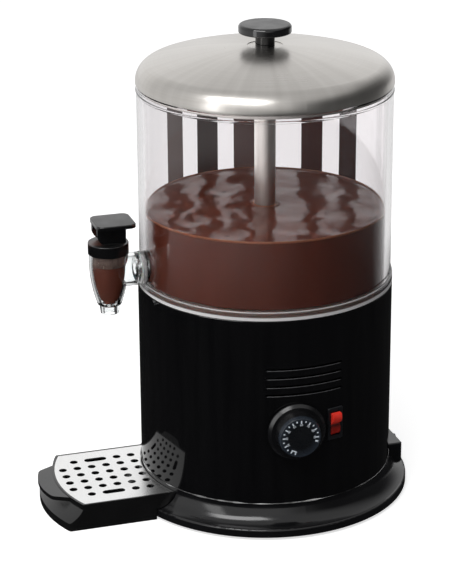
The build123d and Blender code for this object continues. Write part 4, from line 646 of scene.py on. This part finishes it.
# Sealing bead where the housing meets the skirt: thick and thin by turns, as a finger leaves it, thinnest at the back
# Its pale colour is a painted highlight along the seam
seal_middle = (HOUSING_R + SEAL_OUT, SEAM_Z + SEAL_OUT)
bead = spun(arc(seal_middle, (SEAL_R, SEAL_R), 0, 315, 7), 240)
for vert in bead.verts:
    outward = Vector((vert.co.x, vert.co.y, 0)).normalized()
    middle = outward * seal_middle[0] / 1000 + Vector((0, 0, seal_middle[1] / 1000))
    swell = SEAL_MEAN + SEAL_VARIES * noise.noise(outward * SEAL_LUMPS) - SEAL_BACK * max(0, outward.y)
    vert.co = middle + (vert.co - middle) * max(SEAL_LEAST, swell)
piece("seam_bead", bead, bead_painted_highlight_skin, "base")


def on_tray_edge(vert):
    """Whether a point lies on the drip tray's front corners, rim or finger tab."""
    x, y, z = vert.co * 1000
    return abs(x) > TRAY_SIDE and y < TRAY_SLOPE_Y or z > TRAY_RIM or y < TRAY_TAB_Y


# Drip tray: the moulding's edges rounded to catch the light, first the steep corners between the slope and the sides,
# then the rim, the slope's foot and the finger tab
tray_mesh = merged("drip_tray")
bmesh.ops.dissolve_limit(tray_mesh, angle_limit=radians(0.5), verts=tray_mesh.verts[:], edges=tray_mesh.edges[:])
for width, lowest, highest, corners in ((2.5, -0.1, 25.5, True), (0.8, 7.4, 30.0, False)):
    edges = [edge for edge in tray_mesh.edges if edge.is_convex and edge.calc_face_angle(0) > radians(CREASE)
             and all(lowest < vert.co.z * 1000 < highest and on_tray_edge(vert) for vert in edge.verts)]
    if corners:
        edges = [edge for edge in edges if abs(edge.verts[0].co.x) * 1000 > TRAY_SIDE
                 and abs(edge.verts[0].co.z - edge.verts[1].co.z) > 0.003]
    bmesh.ops.bevel(tray_mesh, geom=edges, offset=width / 1000, offset_type="OFFSET", segments=4, profile=0.5,
                    affect="EDGES", clamp_overlap=True, material=-1)
creased(tray_mesh)
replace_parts(piece("tray_rounded", tray_mesh, finishes["tray_black"], "tray"), "drip_tray")

# Dial print: marks and plain figures on the flat of the dial, in its own plane
outward = Vector((cos(face_turn), sin(face_turn), 0))
sideways = Vector((-sin(face_turn), cos(face_turn), 0))
face_plane = Matrix.Translation(face_middle) @ Matrix(
    (sideways, Vector((0, 0, 1)), outward)).transposed().to_4x4()
print_mesh = bmesh.new()
bars = []
for mark in range(MARK_COUNT):
    last = mark == MARK_COUNT - 1
    odd = mark % 2 == 1
    clock = MARK_FIRST + MARK_STEP * mark
    bars.append((clock, MARK_LONG if odd or last or mark == 0 else MARK_SHORT, MARK_END,
                 MARK_LAST_W if last else MARK_W))
    if odd and mark > 1:
        words = bpy.data.curves.new("figure", "FONT")
        words.body = str(5 * (mark + 1))
        words.size = FIGURE_H / 1000
        words.extrude = PRINT_THICK / 2000
        words.align_x = "CENTER"
        words.align_y = "CENTER"
        holder = bpy.data.objects.new("figure", words)
        scene.collection.objects.link(holder)
        bpy.context.view_layer.update()
        drawn = bpy.data.meshes.new_from_object(holder.evaluated_get(bpy.context.evaluated_depsgraph_get()))
        drawn.transform(face_plane @ Matrix.Rotation(-radians(180 + clock), 4, "Z")
                        @ Matrix.Translation((0, FIGURE_R / 1000, PRINT_THICK / 2000)))
        print_mesh.from_mesh(drawn)
        bpy.data.objects.remove(holder)
        bpy.data.curves.remove(words)
        bpy.data.meshes.remove(drawn)
# the first two marks are joined at their inner ends
bars.append((MARK_FIRST + MARK_STEP / 2, LINK_R - 0.5, LINK_R + 0.6,
             2 * LINK_R * sin(radians(MARK_STEP / 2)) + 1.8))
for clock, start, end, width in bars:
    bmesh.ops.create_cube(print_mesh, size=1, matrix=face_plane @ Matrix.Rotation(-radians(180 + clock), 4, "Z")
                          @ Matrix.Translation((0, (start + end) / 2000, PRINT_THICK / 2000))
                          @ Matrix.Diagonal((width / 1000, (end - start) / 1000, PRINT_THICK / 1000, 1)))
piece("dial_print", print_mesh, finishes["ink"], "dial")

# Camera at the photograph's place
lens = bpy.data.cameras.new("camera")
lens.lens = FOCAL * SENSOR / FRAME_H
lens.sensor_width = SENSOR
lens.shift_x = SHIFT / FRAME_H
camera = bpy.data.objects.new("camera", lens)
camera.location = (EYE_OUT * sin(VIEW_TURN), -EYE_OUT * cos(VIEW_TURN), EYE_UP)
camera.rotation_euler = (radians(90 - EYE_DOWN), 0, VIEW_TURN)
scene.collection.objects.link(camera)
scene.camera = camera
scene.view_settings.view_transform = "Standard"

# Floor: pale matt paper, white to the eye and through clear walls but for the soft shadow; gloss shows the
# dark cloth in front of the machine, and beyond it the lit left-hand side of the studio
floor_skin, tree, where = finish("white_paper_sweep")
mirrored = add(tree, "ShaderNodeMath", {0: add(tree, "ShaderNodeLightPath", out="Glossy Depth"), 1: 0.5},
               operation="GREATER_THAN")
bounced = add(tree, "ShaderNodeMath", {0: add(tree, "ShaderNodeLightPath", out="Diffuse Depth"), 1: 0.5},
              operation="GREATER_THAN")
in_glass = add(tree, "ShaderNodeLightPath", out="Is Transmission Ray")
deep_in = add(tree, "ShaderNodeMath", {0: add(tree, "ShaderNodeLightPath", out="Transmission Depth"), 1: 3.5},
              operation="GREATER_THAN")
bearing = add(tree, "ShaderNodeVectorMath", {0: where}, operation="NORMALIZE")
side = add(tree, "ShaderNodeVectorMath", {0: bearing, 1: VIEW_LEFT}, operation="DOT_PRODUCT")
front = add(tree, "ShaderNodeVectorMath", {0: bearing, 1: VIEW_FRONT}, operation="DOT_PRODUCT")
cloth_middle = 0.25 * Vector(VIEW_FRONT) + 0.13 * Vector(VIEW_LEFT)
away = add(tree, "ShaderNodeVectorMath", {0: where, 1: cloth_middle}, operation="DISTANCE")
far = add(tree, "ShaderNodeVectorMath", {0: where}, operation="LENGTH")
behind = add(tree, "ShaderNodeMapRange", {"Value": front, "From Min": -0.45, "From Max": -0.75, "To Max": 0.85})
beyond = add(tree, "ShaderNodeMath", {
    0: add(tree, "ShaderNodeMapRange", {"Value": side, "From Min": -0.3, "From Max": 0.7,
                                        "To Min": 0.08, "To Max": 0.9}, interpolation_type="SMOOTHSTEP"),
    1: behind}, operation="MAXIMUM")
cloth = add(tree, "ShaderNodeMapRange", {"Value": away, "From Min": 0.92, "From Max": 1.15,
                                         "To Min": 0.012, "To Max": beyond}, interpolation_type="SMOOTHSTEP")
through = add(tree, "ShaderNodeMapRange", {"Value": side, "From Min": -0.6, "From Max": 0.5,
                                           "To Min": 0.18, "To Max": 2.3})
within = add(tree, "ShaderNodeMix", {
    0: deep_in,
    2: add(tree, "ShaderNodeMapRange", {"Value": front, "From Min": -0.35, "From Max": -0.7,
                                        "To Min": 0.05, "To Max": 0.85}),
    3: add(tree, "ShaderNodeMapRange", {"Value": far, "From Min": 0.7, "From Max": 0.95,
                                        "To Min": 0.06, "To Max": through})})
# For light it bounces onto the machine the paper is painted darker towards the right: painted shade
lit = add(tree, "ShaderNodeMapRange", {"Value": side, "From Min": -0.3, "From Max": 0.7})
paper = add(tree, "ShaderNodeBsdfDiffuse", {"Color": linear("#e4e4e4")})
dim_paper = add(tree, "ShaderNodeBsdfDiffuse", {"Color": add(
    tree, "ShaderNodeMix", {0: lit, 6: linear("#3c3c3c"), 7: linear("#e4e4e4")}, data_type="RGBA")})
white = add(tree, "ShaderNodeAddShader", {0: paper, 1: add(tree, "ShaderNodeEmission", {"Strength": 0.66})})
shown = add(tree, "ShaderNodeMixShader", {0: bounced, 1: white, 2: dim_paper})
add(tree, "ShaderNodeOutputMaterial", {"Surface": add(tree, "ShaderNodeMixShader", {
    0: mirrored, 1: shown, 2: add(tree, "ShaderNodeEmission", {
        "Strength": add(tree, "ShaderNodeMix", {0: in_glass, 2: cloth, 3: within})})})})


def stage_sheet(name, material, place, shows=None):
    """A flat sheet of the studio; place turns a square of side 1 to where it stands."""
    mesh = bmesh.new()
    bmesh.ops.create_grid(mesh, x_segments=1, y_segments=1, size=0.5, matrix=place)
    made = placed(name, mesh, material)
    if shows:
        for ray in ("camera", "diffuse", "glossy", "transmission", "volume_scatter", "shadow"):
            setattr(made, "visible_" + ray, ray == shows)


stage_sheet("floor", floor_skin, Matrix.Diagonal((FLOOR, FLOOR, 1, 1)))

# Brown strips of a backdrop that only the clear walls show
upright = Matrix.Rotation(radians(90), 4, "X")
facing = Matrix.Rotation(VIEW_TURN, 4, "Z")
for number, (across, shade) in enumerate(((-120, "#4c403e"), (-72, "#1c0f0d"), (-25, "#3c2b29"), (58, "#2f1d1b"),
                                          (108, "#281b1a")), 1):
    strip_skin, tree, where = finish("brown_backdrop_strip_%d" % number)
    add(tree, "ShaderNodeOutputMaterial", {"Surface": add(tree, "ShaderNodeEmission", {"Color": linear(shade)})})
    stage_sheet("strip_%d" % number, strip_skin, facing
                @ Matrix.Translation((across / 1000, STRIP_BACK, STRIP_Z)) @ upright
                @ Matrix.Diagonal((*STRIP, 1, 1)), "transmission")

# Upright reflector on the left in front, which draws soft bright lines on gloss edges
card_skin, tree, where = finish("white_reflector_card")
add(tree, "ShaderNodeOutputMaterial", {"Surface": add(tree, "ShaderNodeEmission", {"Strength": 2.8})})
stage_sheet("reflector", card_skin, Matrix.Rotation(CARD_TURN, 4, "Z")
            @ Matrix.Translation((0, -CARD_OUT, CARD_Z)) @ upright @ Matrix.Diagonal((*CARD, 1, 1)), "glossy")

# Studio: white to the eye and through clear walls; the object is lit by bright walls behind, left and in front, a
# softer ceiling and a dark right-hand side
world = bpy.data.worlds.new("studio")
scene.world = world
world.use_nodes = True
tree = world.node_tree
tree.nodes.clear()
mirrored = add(tree, "ShaderNodeMath", {0: add(tree, "ShaderNodeLightPath", out="Glossy Depth"), 1: 0.5},
               operation="GREATER_THAN")
bounced = add(tree, "ShaderNodeMath", {0: add(tree, "ShaderNodeLightPath", out="Diffuse Depth"), 1: 0.5},
              operation="GREATER_THAN")
way = add(tree, "ShaderNodeTexCoord", out="Generated")
side = add(tree, "ShaderNodeVectorMath", {0: way, 1: VIEW_LEFT}, operation="DOT_PRODUCT")
front = add(tree, "ShaderNodeVectorMath", {0: way, 1: VIEW_FRONT}, operation="DOT_PRODUCT")
up = add(tree, "ShaderNodeSeparateXYZ", {0: way}, out="Z")
behind = add(tree, "ShaderNodeMapRange", {"Value": front, "From Min": -0.5, "From Max": -0.85,
                                          "To Min": 1.0, "To Max": 1.35})
lit_walls = add(tree, "ShaderNodeMapRange", {"Value": side, "From Min": -0.4, "From Max": 0.2,
                                             "To Min": 0.08, "To Max": 1.1}, interpolation_type="SMOOTHSTEP")
seen_walls = add(tree, "ShaderNodeMath", {
    0: add(tree, "ShaderNodeMapRange", {"Value": side, "From Min": -0.8, "From Max": -0.15,
                                        "To Min": 0.06, "To Max": 1.0}, interpolation_type="SMOOTHSTEP"),
    1: behind}, operation="MULTIPLY")
overhead = add(tree, "ShaderNodeMapRange", {"Value": up, "From Min": 0.5, "From Max": 0.8})
room = add(tree, "ShaderNodeMix", {
    0: overhead, 2: add(tree, "ShaderNodeMix", {0: mirrored, 2: lit_walls, 3: seen_walls}),
    3: add(tree, "ShaderNodeMix", {0: mirrored, 2: 0.62, 3: 0.82})})
add(tree, "ShaderNodeOutputWorld", {"Surface": add(tree, "ShaderNodeBackground", {
    "Strength": add(tree, "ShaderNodeMix", {
        0: add(tree, "ShaderNodeMath", {0: mirrored, 1: bounced}, operation="MAXIMUM"), 2: 1.0, 3: room})})})

# Key softbox, high on the left in front
lamp = bpy.data.lights.new("key_softbox", "AREA")
lamp.shape = "RECTANGLE"
lamp.size = 1.5
lamp.size_y = 0.75
lamp.energy = 22
softbox = bpy.data.objects.new("key_softbox", lamp)
softbox.location = (0.86, -0.955, 1.93)
softbox.rotation_euler = (Vector((0, 0, 0.4)) - softbox.location).to_track_quat("-Z", "Y").to_euler()
scene.collection.objects.link(softbox)
